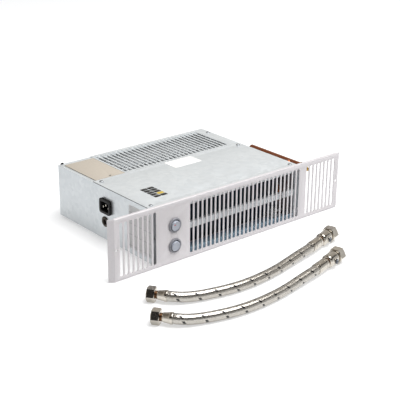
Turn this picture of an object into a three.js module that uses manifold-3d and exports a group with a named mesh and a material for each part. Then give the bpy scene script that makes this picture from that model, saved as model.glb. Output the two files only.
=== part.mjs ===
// Plinth heater: a low fan convector that stands under a kitchen cabinet, with its grille in the
// plinth board, and the pair of flexible hoses that connect it. Millimetres, +Z up, front at -Y.
// Sizes are first written with y = 0 on the grille's front face and x = 0 at its middle. The last
// group moves that frame to the middle of the heater's footprint on the floor.
import * as THREE from 'three';
import { mergeVertices } from 'three/addons/utils/BufferGeometryUtils.js';
import Module from 'manifold-3d';

const wasm = await Module();
wasm.setup();

// ---------------------------------------------------------------- driving dimensions
const gap = 0.3; // clearance between pieces that meet but may move
const sheet = 1.2; // steel sheet of the case and the grille

const feet = { height: 4.4, radius: 9, inset: 16 };

const grille = {
  width: 500, bottom: 0.5, top: 103.1,
  flapWidth: 8.3, flapDepth: 6.5, returnDepth: 5,
  fixingHoleRadius: 2, fixingHoleInset: 12.2,
};
const grilleSlot = {
  pitch: 9.05, width: 5.65, topMargin: 7.9, bottomMargin: 6.7, edgeMargin: 21.1,
  caseOverlap: 2, outletClearance: 6, outletLeft: 5.6, outletRight: 11.4,
};

const casing = { width: 319.4, centreX: -5.7, front: 7.2, depth: 263.3, height: 92.7 };
const sideFlange = 15.4; // inward top flange of each side panel
const rearFlange = 15.5;
const coverLip = 8; // front edge of the front cover, turned down
const sillHeight = 8; // front edge of the tray, turned up
const frontFlange = { right: 13, holeInset: 5, holeZ: 47.6, holeRadius: 2 };
const grilleTabs = { leftInset: 13, rightInset: 4.4, reach: 8, bottom: 22, top: 78 };
const crossRail = { front: 9, back: 3, drop: 9 }; // measured from the cover joint
const bay = { width: 67.1 }; // electrical bay behind the switches, outer side to partition
const rearPanelDepth = 104.9; // from the front cover's joint to the rear wall
const jointGap = 0.4;

const intake = {
  pitch: 8.856, width: 5.2, firstMargin: 6.6, lastMargin: 26.1, frontMargin: 4, rearMargin: 7.9,
};
const controlCover = { sideReveal: 6.2, rearReveal: 10.5, holeSide: 38.1, holeInset: 5.7, ledge: 6 };

const switches = {
  inset: 39, heights: [64.2, 29.6], bezelRadius: 12.2, bezelProud: 2.4,
  bodyRadius: 10, bodyDepth: 18, wellRadius: 9.4, wellDepth: 8,
};
const rocker = {
  radius: 8.8, rimRadius: 8.2, rimDepth: 5.7, rimRound: 0.9, dish: 0.7,
  backRadius: 6.6, backDepth: 3.4, pivotY: 1.5,
};
const rockerTilt = 8; // degrees each side of flat

const inlet = {
  setback: 37.2, z: 64.8, width: 29.2, height: 25, proud: 5, corner: 4,
  bodyWidth: 25, bodyHeight: 19.4, bodyDepth: 21,
  wellWidth: 21.6, wellHeight: 15.4, wellDepth: 16, wellCorner: 3,
};
const pin = { width: 4, thickness: 2, length: 13, spread: 7, rise: 2 };
const grommet = { setback: 32.6, z: 36.5, flangeRadius: 9, flange: 2, holeRadius: 8, boreRadius: 4.5 };

const screw = { headRadius: 3.6, headHeight: 1.7, shankRadius: 1.8, length: 4, holeRadius: 2.1 };
const screwInset = 10; // from the outside of the case to a cover screw
const coverScrew = { front: 15.8, joint: 9.6 }; // from the case's front and from the joint
const rearScrew = { rear: 25.5, inset: 6 };

const fan = {
  rear: 51.5, z: 56, radius: 30, blades: 24, bladeDepth: 6.5, bladeThickness: 1.2,
  bladeLean: 28, bladeInset: 0.2, discThickness: 2, shaftRadius: 3, shaftReach: 16, endGap: 5,
};
const scroll = { thickness: 1, rear: 7, top: 91, tongueGap: 3.4, cheekFlange: 3.6 };
const tongue = { flatLength: 46, fall: 4, lead: 14, rise: 17 }; // roof from the coil to the rotor
const motor = {
  housingRadius: 19, housingLength: 42, rimWidth: 4, rimLength: 5,
  stackWidth: 60, stackHeight: 58, stackLength: 18, stackPlace: 0.55,
};
const bearing = { radius: 9, length: 6.5 };

const coil = {
  front: 28.8, depth: 55, leftInset: 24.3, rightInset: 26.5, bottom: 5.9, top: 93,
  finPitch: 8.5, finThickness: 1.2, plateThickness: 1.6, webThickness: 3,
  tubeRadius: 6.35, rowPitch: 27.5, levelPitch: 31.75, topLevel: 86, bendLeg: 2,
};
const pipe = {
  radius: 7.5, bore: 6.5, boreDepth: 26, outset: 18, frontEnd: 16.8, setback: 15.6,
  bend: 20, straightLength: 30, holeRadius: 8.5,
};
const vent = {
  hexRadius: 9.6, hexLength: 6.5, barrelRadius: 6, barrelLength: 6,
  headRadius: 4.5, headLength: 1.5, squareSize: 5, squareLength: 3.5,
};

const frontRail = { bottom: 46, height: 10.5, returnDepth: 6 };
const lead = { inset: 38, radius: 2.2 };
const thermostat = { width: 20, height: 14, depth: 4.7, drop: 4 };
const plug = { width: 14, depth: 10, height: 14, setback: 17 };
const terminals = { inset: 34.4, front: 64.8, width: 40, depth: 24, height: 18, ways: 6, groove: [1, 5] };

// Flexible hoses: lengths along the hose from the outer face of each end nut.
const hose = { radius: 8, restHeight: 8.2 };
const nut = { acrossFlats: 21.5, length: 13, wall: 3, boreRadius: 8.9, throatRadius: 5.6, neckLength: 3.2 };
const sleeve = { radius: 8.9, neckRadius: 6, length: 15 };
const tail = { boreRadius: 3.4, boreDepth: 6, flange: 2, flangeRadius: 8.2 };
const valve = {
  sleeveLength: 28, coneLength: 4, neckLength: 1,
  radius: 10.6, length: 25, round: 2.5, tailRadius: 9.6, tailWall: 1.9, tailLength: 11,
  bossRadius: 5.6, bossProud: 0.6, screwRadius: 4, screwProud: 1.4, screwSlot: [1.2, 0.8],
};
const pipeNut = { acrossFlats: 24, length: 15, wall: 3, boreRadius: 9.9, pipeHoleRadius: 7.7 };
const hoseRoutes = [
  {
    name: 'hose_1', startHeading: -53, endHeading: 16,
    points: [
      [-219, -100.2], [-212.5, -107.2], [-203.5, -113.7], [-191, -119.6], [-176, -125], [-159, -129.8],
      [-140, -134], [-119, -137.2], [-97, -138.2], [-75, -137.3], [-53, -135.1], [-31, -131.6],
      [-9, -127.1], [15, -122.3], [39, -117.7], [62.3, -112.7],
    ],
  },
  {
    name: 'hose_2', startHeading: -53, endHeading: 14.5,
    points: [
      [-255.2, -158.3], [-248.5, -165.2], [-239.5, -171.3], [-227, -176.8], [-212, -182.2],
      [-195.5, -187.2], [-177, -191.5], [-157, -194.4], [-136, -195.5], [-115, -195], [-94, -193.2],
      [-73, -190.3], [-52, -186.7], [-31, -183], [-10, -179.5], [9.4, -175.8],
    ],
  },
];
const hoseLift = 3; // route points over which a hose climbs from the floor to its fitting
const hoseStraight = 6; // straight stretch of tube at each fitting

// ---------------------------------------------------------------- derived places
const caseLeft = casing.centreX - casing.width / 2;
const caseRight = casing.centreX + casing.width / 2;
const caseFront = casing.front;
const caseRear = caseFront + casing.depth;
const caseBottom = feet.height;
const caseTop = caseBottom + casing.height;
const coverUnder = caseTop - sheet;
const flangeUnder = coverUnder - sheet;
const floorTop = caseBottom + sheet;
const insideLeft = caseLeft + sheet;
const insideRight = caseRight - sheet;
const flangeBack = caseFront + sheet;
const partitionX = caseLeft + bay.width;
const rightFlangeX = caseRight - frontFlange.right;
const coverJointY = caseRear - rearPanelDepth;
const screwLeftX = caseLeft + screwInset;
const screwRightX = caseRight - screwInset;
const coverScrewY = [caseFront + coverScrew.front, coverJointY - coverScrew.joint];
const rearScrewX = caseRight - rearScrew.inset;
const rearScrewY = caseRear - rearScrew.rear;
const controlHoleX = caseLeft + controlCover.holeSide;
const switchX = caseLeft + switches.inset;
const inletY = coverJointY - inlet.setback;
const grommetY = coverJointY - grommet.setback;
const fanY = caseRear - fan.rear;
const scrollWallY = caseRear - scroll.rear;
const coilX = [partitionX + coil.leftInset, caseRight - coil.rightInset];
const coilY = [caseFront + coil.front, caseFront + coil.front + coil.depth];
const pipeX = caseRight + pipe.outset;
const pipeY = [caseFront + pipe.frontEnd, coverJointY - pipe.setback];
const leadX = caseRight - lead.inset;
const tilt = THREE.MathUtils.degToRad(rockerTilt);
const rockerFront = rocker.pivotY - rocker.rimDepth * Math.cos(tilt)
  - (rocker.rimRadius - rocker.rimRound) * Math.sin(tilt);
const originY = (rockerFront + caseRear) / 2;

// ---------------------------------------------------------------- materials
const paint = (color, roughness, metalness) =>
  new THREE.MeshStandardMaterial({ color, roughness, metalness });
const zinc = paint('#c9cdd1', 0.42, 0.9);
const satinSilver = paint('#d2ced0', 0.38, 0.8);
const beige = paint('#d5cfc7', 0.6, 0);
const blackPlastic = paint('#17171a', 0.45, 0);
const greyLens = paint('#a9adb8', 0.25, 0);
const nickel = paint('#b9b4ab', 0.18, 1);
const braid = paint('#9c9790', 0.4, 0.8);
const copper = paint('#a8623c', 0.35, 1);
const brass = paint('#b48a3c', 0.3, 1);
const aluminium = paint('#a7abb0', 0.4, 0.9);
const rubber = paint('#1c1c1e', 0.85, 0);
const whitePlastic = paint('#d6d6d2', 0.5, 0);

// ---------------------------------------------------------------- geometry helpers
// Merges shared vertices, drops collapsed triangles and turns the faces outward.
function closed(geometry) {
  const bare = new THREE.BufferGeometry();
  bare.setAttribute('position', geometry.getAttribute('position').clone());
  if (geometry.index) bare.setIndex(geometry.index.clone());
  const merged = mergeVertices(bare, 1e-4);
  const position = merged.getAttribute('position');
  const corner = [new THREE.Vector3(), new THREE.Vector3(), new THREE.Vector3()];
  const kept = [];
  let volume = 0;
  for (let i = 0; i < merged.index.count; i += 3) {
    const [a, b, c] = [0, 1, 2].map((k) => merged.index.getX(i + k));
    if (a === b || b === c || c === a) continue;
    kept.push(a, b, c);
    [a, b, c].forEach((vertex, k) => corner[k].fromBufferAttribute(position, vertex));
    volume += corner[0].dot(corner[1].cross(corner[2]));
  }
  merged.setIndex(volume < 0 ? kept.reverse() : kept);
  return merged;
}

function toSolid(geometry) {
  const mesh = closed(geometry);
  return new wasm.Manifold(new wasm.Mesh({
    numProp: 3,
    vertProperties: Float32Array.from(mesh.getAttribute('position').array),
    triVerts: Uint32Array.from(mesh.index.array),
  }));
}

function toGeometry(solid) {
  const mesh = solid.getMesh();
  const geometry = new THREE.BufferGeometry();
  geometry.setAttribute('position', new THREE.BufferAttribute(mesh.vertProperties.slice(), 3));
  geometry.setIndex(Array.from(mesh.triVerts));
  return geometry;
}

const join = (...pieces) =>
  toGeometry(pieces.map(toSolid).reduce((whole, piece) => whole.add(piece)));
const cut = (body, ...tools) =>
  toGeometry(tools.map(toSolid).reduce((left, tool) => left.subtract(tool), toSolid(body)));

const about = (centre, width) => [centre - width / 2, centre + width / 2];
const box = ([x0, x1], [y0, y1], [z0, z1]) =>
  new THREE.BoxGeometry(x1 - x0, y1 - y0, z1 - z0)
    .translate((x0 + x1) / 2, (y0 + y1) / 2, (z0 + z1) / 2);

// Round bars along an axis, from a to b, centred on the two other coordinates in X, Y, Z order.
const barX = (a, b, y, z, radius, sides = 16) =>
  new THREE.CylinderGeometry(radius, radius, b - a, sides).rotateZ(Math.PI / 2)
    .translate((a + b) / 2, y, z);
const barY = (a, b, x, z, radius, sides = 16) =>
  new THREE.CylinderGeometry(radius, radius, b - a, sides).translate(x, (a + b) / 2, z);
const barZ = (a, b, x, y, radius, sides = 16) =>
  new THREE.CylinderGeometry(radius, radius, b - a, sides).rotateX(Math.PI / 2)
    .translate(x, y, (a + b) / 2);

// Turned pieces: a profile of [distance along the axis, radius] pairs.
function turned(profile, sides = 16) {
  const points = profile.map(([along, radius]) => new THREE.Vector2(radius, along));
  return closed(new THREE.LatheGeometry(points, sides));
}
const turnedX = (profile, y, z, sides) => turned(profile, sides).rotateZ(-Math.PI / 2).translate(0, y, z);
const turnedY = (profile, x, z, sides) => turned(profile, sides).translate(x, 0, z);
const turnedZ = (profile, x, y, sides) => turned(profile, sides).rotateX(Math.PI / 2).translate(x, y, 0);

const outlineShape = (points) => new THREE.Shape(points.map(([u, v]) => new THREE.Vector2(u, v)));
const extrude = (shape, depth, curveSegments = 4) =>
  new THREE.ExtrudeGeometry(shape, { depth, bevelEnabled: false, curveSegments });

// An outline in Y and Z, drawn out along X; one in X and Z along Y; one in X and Y along Z.
const prismX = (points, x0, x1) =>
  extrude(outlineShape(points), x1 - x0).rotateX(Math.PI / 2).rotateZ(Math.PI / 2).translate(x0, 0, 0);
const prismY = (shape, y0, y1) =>
  extrude(shape, y1 - y0).rotateX(Math.PI / 2).translate(0, y1, 0);
const prismZ = (shape, z0, z1) => extrude(shape, z1 - z0).translate(0, 0, z0);

// The outline of a bent sheet, from the line down its middle.
function ribbon(line, thickness) {
  const points = line.map(([u, v]) => new THREE.Vector2(u, v));
  const side = (sign) => points.map((point, i) => {
    const before = points[Math.max(i - 1, 0)];
    const after = points[Math.min(i + 1, points.length - 1)];
    const along = after.clone().sub(before).normalize();
    return [point.x - sign * along.y * thickness / 2, point.y + sign * along.x * thickness / 2];
  });
  return [...side(1), ...side(-1).reverse()];
}

// A slot with round ends of the given number of flats.
function roundSlot(centre, low, high, width, flats = 4) {
  const radius = width / 2;
  const end = (middle, start) => Array.from({ length: flats + 1 }, (_, i) => {
    const angle = start + (Math.PI * i) / flats;
    return new THREE.Vector2(centre + radius * Math.cos(angle), middle + radius * Math.sin(angle));
  });
  return new THREE.Path([...end(high - radius, 0), ...end(low + radius, Math.PI)]);
}

// A hole whose flats lie on the radius, so that a round piece of that radius passes through it.
function roundHole(u, v, radius, sides = 20) {
  const reach = radius / Math.cos(Math.PI / sides);
  return new THREE.Path(Array.from({ length: sides }, (_, i) => {
    const angle = (-2 * Math.PI * i) / sides;
    return new THREE.Vector2(u + reach * Math.cos(angle), v + reach * Math.sin(angle));
  }));
}

function rectangle([u0, u1], [v0, v1]) {
  return outlineShape([[u0, v0], [u1, v0], [u1, v1], [u0, v1]]);
}

function tube(points, radius, sides, steps) {
  const section = new THREE.Shape();
  for (let i = 0; i < sides; i += 1) {
    const angle = (2 * Math.PI * (i + 0.5)) / sides;
    const [u, v] = [radius * Math.cos(angle), radius * Math.sin(angle)];
    if (i === 0) section.moveTo(u, v);
    else section.lineTo(u, v);
  }
  const extrudePath = new THREE.CatmullRomCurve3(points.map((p) => new THREE.Vector3(...p)));
  return new THREE.ExtrudeGeometry(section, { steps, extrudePath, bevelEnabled: false });
}

const heater = new THREE.Group();

function add(name, geometry, material, parent = heater) {
  const mesh = new THREE.Mesh(closed(geometry), material);
  mesh.name = name;
  parent.add(mesh);
  return mesh;
}

// ---------------------------------------------------------------- grille
function slotCentres(first, count) {
  return Array.from({ length: count }, (_, i) => first + i * grilleSlot.pitch);
}

function buildGrille() {
  const half = grille.width / 2;
  const plateHalf = half - grille.flapWidth;
  const sideStart = half - grilleSlot.edgeMargin;
  const sideCount = (limit) => Math.floor((sideStart - limit) / grilleSlot.pitch) + 1;
  const leftCount = sideCount(-caseLeft - grilleSlot.caseOverlap);
  const rightCount = sideCount(caseRight + grilleSlot.outletClearance);
  const outletFirst = partitionX + grilleSlot.outletLeft;
  const outletLast = caseRight - grilleSlot.outletRight;
  const outletCount = Math.round((outletLast - outletFirst) / grilleSlot.pitch) + 1;
  const low = grille.bottom + grilleSlot.bottomMargin;
  const high = grille.top - grilleSlot.topMargin;
  const face = rectangle([-plateHalf, plateHalf], [grille.bottom, grille.top]);
  const centres = [
    ...slotCentres(-sideStart, leftCount),
    ...slotCentres(outletFirst, outletCount),
    ...slotCentres(sideStart - (rightCount - 1) * grilleSlot.pitch, rightCount),
  ];
  face.holes.push(...centres.map((centre) => roundSlot(centre, low, high, grilleSlot.width)));
  switches.heights.forEach((z) => face.holes.push(roundHole(switchX, z, switches.bodyRadius + gap)));
  const middle = (grille.bottom + grille.top) / 2;
  [-1, 1].forEach((sign) => face.holes.push(
    roundHole(sign * (half - grille.fixingHoleInset), middle, grille.fixingHoleRadius)));
  const root = plateHalf - sheet / 2;
  const flap = (sign) => prismZ(outlineShape([
    [sign * root, 0], [sign * plateHalf, 0], [sign * half, grille.flapDepth],
    [sign * (half - sheet), grille.flapDepth + sheet * 0.6], [sign * root, sheet],
  ]), grille.bottom, grille.top);
  const lip = (z0, z1) =>
    box([sheet - plateHalf, plateHalf - sheet], [sheet / 2, grille.returnDepth], [z0, z1]);
  return join(prismY(face, 0, sheet), flap(-1), flap(1),
    lip(grille.bottom, grille.bottom + sheet), lip(grille.top - sheet, grille.top));
}

add('fascia_grille', buildGrille(), satinSilver);

// ---------------------------------------------------------------- case
const coverHole = (x, y) => barZ(flangeUnder - 1, caseTop + 1, x, y, screw.holeRadius, 10);
const grilleTabZ = [grilleTabs.bottom, grilleTabs.top];
// A tab that reaches forward from a front flange and backs the grille's face.
const grilleTab = (x) => join(
  box([x - sheet / 2, x + sheet / 2], [sheet + gap, flangeBack], grilleTabZ),
  box([x, x + grilleTabs.reach], [sheet + gap, 2 * sheet + gap], grilleTabZ),
);

function sidePanel(outer, inner, flangeEdge, frontEdge) {
  const span = (a, b) => [Math.min(a, b), Math.max(a, b)];
  return join(
    box(span(outer, inner), [caseFront, caseRear], [caseBottom, coverUnder]),
    box(span(outer, flangeEdge), [caseFront, caseRear - rearFlange - gap],
      [flangeUnder, coverUnder]),
    box(span(outer, frontEdge), [caseFront, flangeBack], [caseBottom, coverUnder]),
  );
}

const leftFlangeEdge = caseLeft + sideFlange;
const rightFlangeEdge = caseRight - sideFlange;
const bayFrontEdge = partitionX - gap;

const throughFlange = [caseFront - 1, flangeBack + 1];
add('left_side_panel', cut(
  join(sidePanel(caseLeft, insideLeft, leftFlangeEdge, bayFrontEdge),
    grilleTab(caseLeft + grilleTabs.leftInset)),
  ...switches.heights.map((z) => barY(...throughFlange, switchX, z, switches.bodyRadius + 1)),
  ...coverScrewY.map((y) => coverHole(screwLeftX, y)),
  barY(...throughFlange, caseLeft + frontFlange.holeInset, frontFlange.holeZ, frontFlange.holeRadius, 10),
  box([caseLeft - 1, insideLeft + 1], about(inletY, inlet.bodyWidth + 2 * gap),
    about(inlet.z, inlet.bodyHeight + 2 * gap)),
  barX(caseLeft - 1, insideLeft + 1, grommetY, grommet.z, grommet.holeRadius),
), zinc);

const rowY = about((coilY[0] + coilY[1]) / 2, coil.rowPitch);
const levelZ = [0, 1, 2].map((i) => coil.topLevel - i * coil.levelPitch);

add('right_side_panel', cut(
  join(sidePanel(caseRight, insideRight, rightFlangeEdge, rightFlangeX),
    grilleTab(caseRight - grilleTabs.rightInset)),
  ...coverScrewY.map((y) => coverHole(screwRightX, y)),
  coverHole(rearScrewX, rearScrewY),
  barX(insideRight - 1, caseRight + 1, rowY[0], levelZ[0], pipe.holeRadius),
  barX(insideRight - 1, caseRight + 1, rowY[1], levelZ[2], pipe.holeRadius),
), zinc);

const trayX = [insideLeft + gap, insideRight - gap];
const openingX = [partitionX + gap, rightFlangeX - gap];
add('base_tray', join(
  box(trayX, [flangeBack + gap, caseRear], [caseBottom, floorTop]),
  box(openingX, [caseFront, flangeBack + gap + 1], [caseBottom, floorTop]),
  box(openingX, [caseFront, flangeBack], [caseBottom, caseBottom + sillHeight]),
  box(trayX, [caseRear - sheet, caseRear], [caseBottom, coverUnder]),
  box(trayX, [caseRear - rearFlange, caseRear], [flangeUnder, coverUnder]),
), zinc);

add('front_cover', cut(
  join(
    box([caseLeft, caseRight], [caseFront, coverJointY], [coverUnder, caseTop]),
    box([openingX[0], rightFlangeEdge - gap], [caseFront, flangeBack],
      [coverUnder - coverLip, coverUnder + sheet / 2]),
  ),
  ...coverScrewY.flatMap((y) => [coverHole(screwLeftX, y), coverHole(screwRightX, y)]),
), zinc);

const rearPanelY = [coverJointY + jointGap, caseRear];
const intakeLeft = partitionX - 1.9;
function buildIntakePanel() {
  const panel = rectangle([intakeLeft, caseRight], rearPanelY);
  const first = intakeLeft + intake.firstMargin;
  const count = Math.round((caseRight - intake.lastMargin - first) / intake.pitch) + 1;
  for (let i = 0; i < count; i += 1) {
    panel.holes.push(roundSlot(first + i * intake.pitch, rearPanelY[0] + intake.frontMargin,
      rearPanelY[1] - intake.rearMargin, intake.width, 3));
  }
  panel.holes.push(roundHole(rearScrewX, rearScrewY, screw.holeRadius));
  return prismZ(panel, coverUnder, caseTop);
}
add('intake_panel', buildIntakePanel(), zinc);

const controlHoleY = rearPanelY[0] + controlCover.holeInset;
function buildControlCover() {
  const cover = rectangle([caseLeft + controlCover.sideReveal, intakeLeft - jointGap],
    [rearPanelY[0], caseRear - controlCover.rearReveal]);
  cover.holes.push(roundHole(controlHoleX, controlHoleY, screw.holeRadius));
  return prismZ(cover, coverUnder, caseTop);
}
add('control_cover', buildControlCover(), beige);

const crossRailX = [leftFlangeEdge + gap, rightFlangeEdge - gap];
const crossRailY = rearPanelY[0] - crossRail.front;
const crossRailUnder = coverUnder - crossRail.drop;
add('cross_rail', cut(
  join(
    box(crossRailX, [crossRailY, rearPanelY[0] + crossRail.back], [flangeUnder, coverUnder]),
    box([crossRailX[0], intakeLeft], [crossRailY, controlHoleY + controlCover.ledge],
      [flangeUnder, coverUnder]),
    box(crossRailX, [crossRailY, crossRailY + sheet], [crossRailUnder, coverUnder]),
  ),
  coverHole(controlHoleX, controlHoleY),
  box([partitionX - gap, partitionX + sheet + gap], [crossRailY - 1, crossRailY + sheet + 1],
    [crossRailUnder - 1, flangeUnder - gap / 2]),
), zinc);

const railY = flangeBack + gap;
const railTop = frontRail.bottom + frontRail.height;
const railX = [partitionX + sheet + gap, insideRight - gap];
add('front_rail', join(
  box(railX, [railY, railY + sheet], [frontRail.bottom, railTop]),
  box(railX, [railY, railY + frontRail.returnDepth], [frontRail.bottom, frontRail.bottom + sheet]),
  box(railX, [railY, railY + frontRail.returnDepth], [railTop - sheet, railTop]),
), zinc);

add('partition', cut(
  box([partitionX, partitionX + sheet], [railY, caseRear - sheet - gap],
    [floorTop + gap, flangeUnder - gap]),
  barX(partitionX - 1, partitionX + sheet + 1, fanY, fan.z, fan.shaftRadius + 3),
), zinc);

[[-1, -1, 'front_left'], [1, -1, 'front_right'], [-1, 1, 'rear_left'], [1, 1, 'rear_right']]
  .forEach(([sideX, sideY, place]) => {
    const x = sideX < 0 ? caseLeft + feet.inset : caseRight - feet.inset;
    const y = sideY < 0 ? caseFront + feet.inset : caseRear - feet.inset;
    add(`foot_${place}`, barZ(0, feet.height, x, y, feet.radius, 14), rubber);
  });

function screwProfile() {
  return [
    [caseTop - screw.length, 0], [caseTop - screw.length, screw.shankRadius],
    [caseTop, screw.shankRadius], [caseTop, screw.headRadius],
    [caseTop + screw.headHeight * 0.55, screw.headRadius * 0.88],
    [caseTop + screw.headHeight, screw.headRadius * 0.45], [caseTop + screw.headHeight, 0],
  ];
}
[
  ['screw_left_front', screwLeftX, coverScrewY[0]], ['screw_left_middle', screwLeftX, coverScrewY[1]],
  ['screw_right_front', screwRightX, coverScrewY[0]], ['screw_right_middle', screwRightX, coverScrewY[1]],
  ['screw_right_rear', rearScrewX, rearScrewY],
].forEach(([name, x, y]) => add(name, turnedZ(screwProfile(), x, y, 12), nickel));

// ---------------------------------------------------------------- switches
function switchBody(z) {
  const front = -switches.bezelProud;
  return turnedY([
    [switches.bodyDepth, 0], [switches.bodyDepth, switches.bodyRadius], [0, switches.bodyRadius],
    [0, switches.bezelRadius], [front * 0.6, switches.bezelRadius], [front, switches.bezelRadius - 1],
    [front, switches.wellRadius], [switches.wellDepth, switches.wellRadius], [switches.wellDepth, 0],
  ], switchX, z, 24);
}

// The rocker is turned about its own pivot and then leans with its lower half pressed in.
function rockerCap() {
  return turned([
    [rocker.backDepth, 0], [rocker.backDepth, rocker.backRadius], [0, rocker.radius],
    [rocker.rimRound - rocker.rimDepth, rocker.rimRadius],
    [-rocker.rimDepth, rocker.rimRadius - rocker.rimRound],
    [rocker.dish * 0.7 - rocker.rimDepth, rocker.rimRadius / 2], [rocker.dish - rocker.rimDepth, 0],
  ], 24);
}

['upper', 'lower'].forEach((place, i) => {
  const z = switches.heights[i];
  add(`switch_${place}_body`, switchBody(z), blackPlastic);
  const cap = add(`switch_${place}_rocker`, rockerCap(), greyLens);
  cap.position.set(switchX, rocker.pivotY, z);
  cap.rotation.x = tilt;
});

// ---------------------------------------------------------------- mains inlet and cable entry
function chamferedBlock([y0, y1], [z0, z1], corner, x0, x1) {
  return prismX([
    [y0 + corner, z0], [y1 - corner, z0], [y1, z0 + corner], [y1, z1 - corner],
    [y1 - corner, z1], [y0 + corner, z1], [y0, z1 - corner], [y0, z0 + corner],
  ], x0, x1);
}

const inletFace = caseLeft - inlet.proud;
const wellFloor = inletFace + inlet.wellDepth;
add('mains_inlet', cut(
  join(
    chamferedBlock(about(inletY, inlet.width), about(inlet.z, inlet.height), inlet.corner,
      inletFace, caseLeft),
    box([caseLeft - 1, inletFace + inlet.bodyDepth], about(inletY, inlet.bodyWidth),
      about(inlet.z, inlet.bodyHeight)),
  ),
  chamferedBlock(about(inletY, inlet.wellWidth), about(inlet.z, inlet.wellHeight), inlet.wellCorner,
    inletFace - 1, wellFloor),
), blackPlastic);

[['left', -1], ['earth', 0], ['right', 1]].forEach(([place, side]) => {
  const y = inletY + side * pin.spread;
  const z = inlet.z + (side === 0 ? pin.rise : -pin.rise);
  add(`inlet_pin_${place}`,
    box([wellFloor - pin.length, wellFloor], about(y, pin.thickness), about(z, pin.width)), nickel);
});

const grommetNeck = grommet.holeRadius - gap;
add('cable_grommet', turnedX([
  [caseLeft - grommet.flange, grommet.boreRadius], [caseLeft - grommet.flange, grommet.flangeRadius - 1],
  [caseLeft - grommet.flange / 2, grommet.flangeRadius], [caseLeft - gap, grommet.flangeRadius],
  [caseLeft - gap, grommetNeck], [insideLeft + gap, grommetNeck], [insideLeft + gap, grommet.flangeRadius],
  [insideLeft + grommet.flange, grommet.flangeRadius], [insideLeft + grommet.flange, grommet.boreRadius],
  [caseLeft - grommet.flange, grommet.boreRadius],
], grommetY, grommet.z, 20), rubber);

function buildTerminals() {
  const [x0, x1] = about(caseLeft + terminals.inset, terminals.width);
  const [y0, y1] = about(caseFront + terminals.front, terminals.depth);
  const base = floorTop + gap;
  const top = base + terminals.height;
  const way = terminals.width / terminals.ways;
  const [grooveWidth, grooveDepth] = terminals.groove;
  const grooves = Array.from({ length: terminals.ways - 1 }, (_, i) =>
    box(about(x0 + (i + 1) * way, grooveWidth), [y0 - 1, y1 + 1], [top - grooveDepth, top + 1]));
  return cut(box([x0, x1], [y0, y1], [base, top]), ...grooves);
}
add('terminal_block', buildTerminals(), whitePlastic);

// ---------------------------------------------------------------- fan
const fanLeft = partitionX + sheet + fan.endGap;
const cheekX = insideRight - gap - scroll.cheekFlange - sheet;
const fanRight = cheekX - fan.endGap;
const motorFace = partitionX - gap;
const shaftLeft = motorFace - fan.shaftReach;

function buildRotor() {
  const middle = fan.radius - fan.bladeDepth / 2 - fan.bladeInset;
  const blades = Array.from({ length: fan.blades }, (_, i) =>
    new THREE.BoxGeometry(fanRight - fanLeft, fan.bladeThickness, fan.bladeDepth)
      .rotateX(THREE.MathUtils.degToRad(fan.bladeLean)).translate(0, 0, middle)
      .rotateX((2 * Math.PI * i) / fan.blades)
      .translate((fanLeft + fanRight) / 2, fanY, fan.z));
  const disc = (x) => barX(x, x + fan.discThickness, fanY, fan.z, fan.radius, 32);
  return join(
    disc(fanLeft), disc((fanLeft + fanRight - fan.discThickness) / 2), disc(fanRight - fan.discThickness),
    barX(shaftLeft, fanLeft + 1, fanY, fan.z, fan.shaftRadius, 12),
    barX(fanRight - 1, cheekX + sheet + 2, fanY, fan.z, fan.shaftRadius, 12), ...blades);
}
add('fan_rotor', buildRotor(), aluminium);

// A scroll that opens from the rear wall to the duct floor, the tongue above it and the end cheek.
function buildScroll() {
  const half = scroll.thickness / 2;
  const floor = floorTop + gap + half;
  const duct = coilY[1] + gap;
  const rearRadius = scrollWallY - fanY;
  const floorRadius = fan.z - floor;
  const turn = Array.from({ length: 9 }, (_, i) => {
    const angle = (Math.PI / 2) * (i / 8);
    const radius = rearRadius + (floorRadius - rearRadius) * (i / 8);
    return [fanY + radius * Math.cos(angle), fan.z - radius * Math.sin(angle)];
  });
  const wall = [[scrollWallY, scroll.top], ...turn, [duct, floor]];
  const tongueY = fanY - fan.radius - scroll.tongueGap;
  const roof = coil.top - half;
  const roofLine = [[duct, roof], [duct + tongue.flatLength, roof - tongue.fall],
    [tongueY - tongue.lead, fan.z + tongue.rise], [tongueY - 1.6, fan.z + 4], [tongueY, fan.z - 5]];
  const reach = [partitionX + sheet + gap, cheekX + sheet / 2];
  const cheek = cut(
    box([cheekX, cheekX + sheet], [duct + 1, scrollWallY + 3], [floor, scroll.top - 1]),
    barX(cheekX - 1, cheekX + sheet + 1, fanY, fan.z, bearing.radius + gap));
  return cut(
    join(prismX(ribbon(wall, scroll.thickness), ...reach),
      prismX(ribbon(roofLine, scroll.thickness), ...reach), cheek),
    box([reach[0] - 1, cheekX + sheet + 1], [crossRailY - gap, crossRailY + sheet + gap],
      [crossRailUnder - gap, coverUnder]));
}
add('fan_scroll', buildScroll(), zinc);

const bearingX = cheekX + sheet / 2 - bearing.length / 2;
add('fan_bearing', cut(
  barX(bearingX, bearingX + bearing.length, fanY, fan.z, bearing.radius, 20),
  barX(bearingX - 1, bearingX + bearing.length + 1, fanY, fan.z, fan.shaftRadius + gap, 12),
), rubber);

const motorBack = motorFace - motor.housingLength;
const stackX = about(motorFace - motor.housingLength * motor.stackPlace, motor.stackLength);
add('fan_motor', cut(
  join(
    barX(motorBack, motorFace - 1, fanY, fan.z, motor.housingRadius, 20),
    barX(motorFace - motor.rimLength, motorFace, fanY, fan.z, motor.housingRadius + motor.rimWidth, 20),
    box(stackX, about(fanY, motor.stackWidth), about(fan.z, motor.stackHeight)),
  ),
  barX(shaftLeft - 1, motorFace + 1, fanY, fan.z, fan.shaftRadius + gap, 12),
), aluminium);

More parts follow.
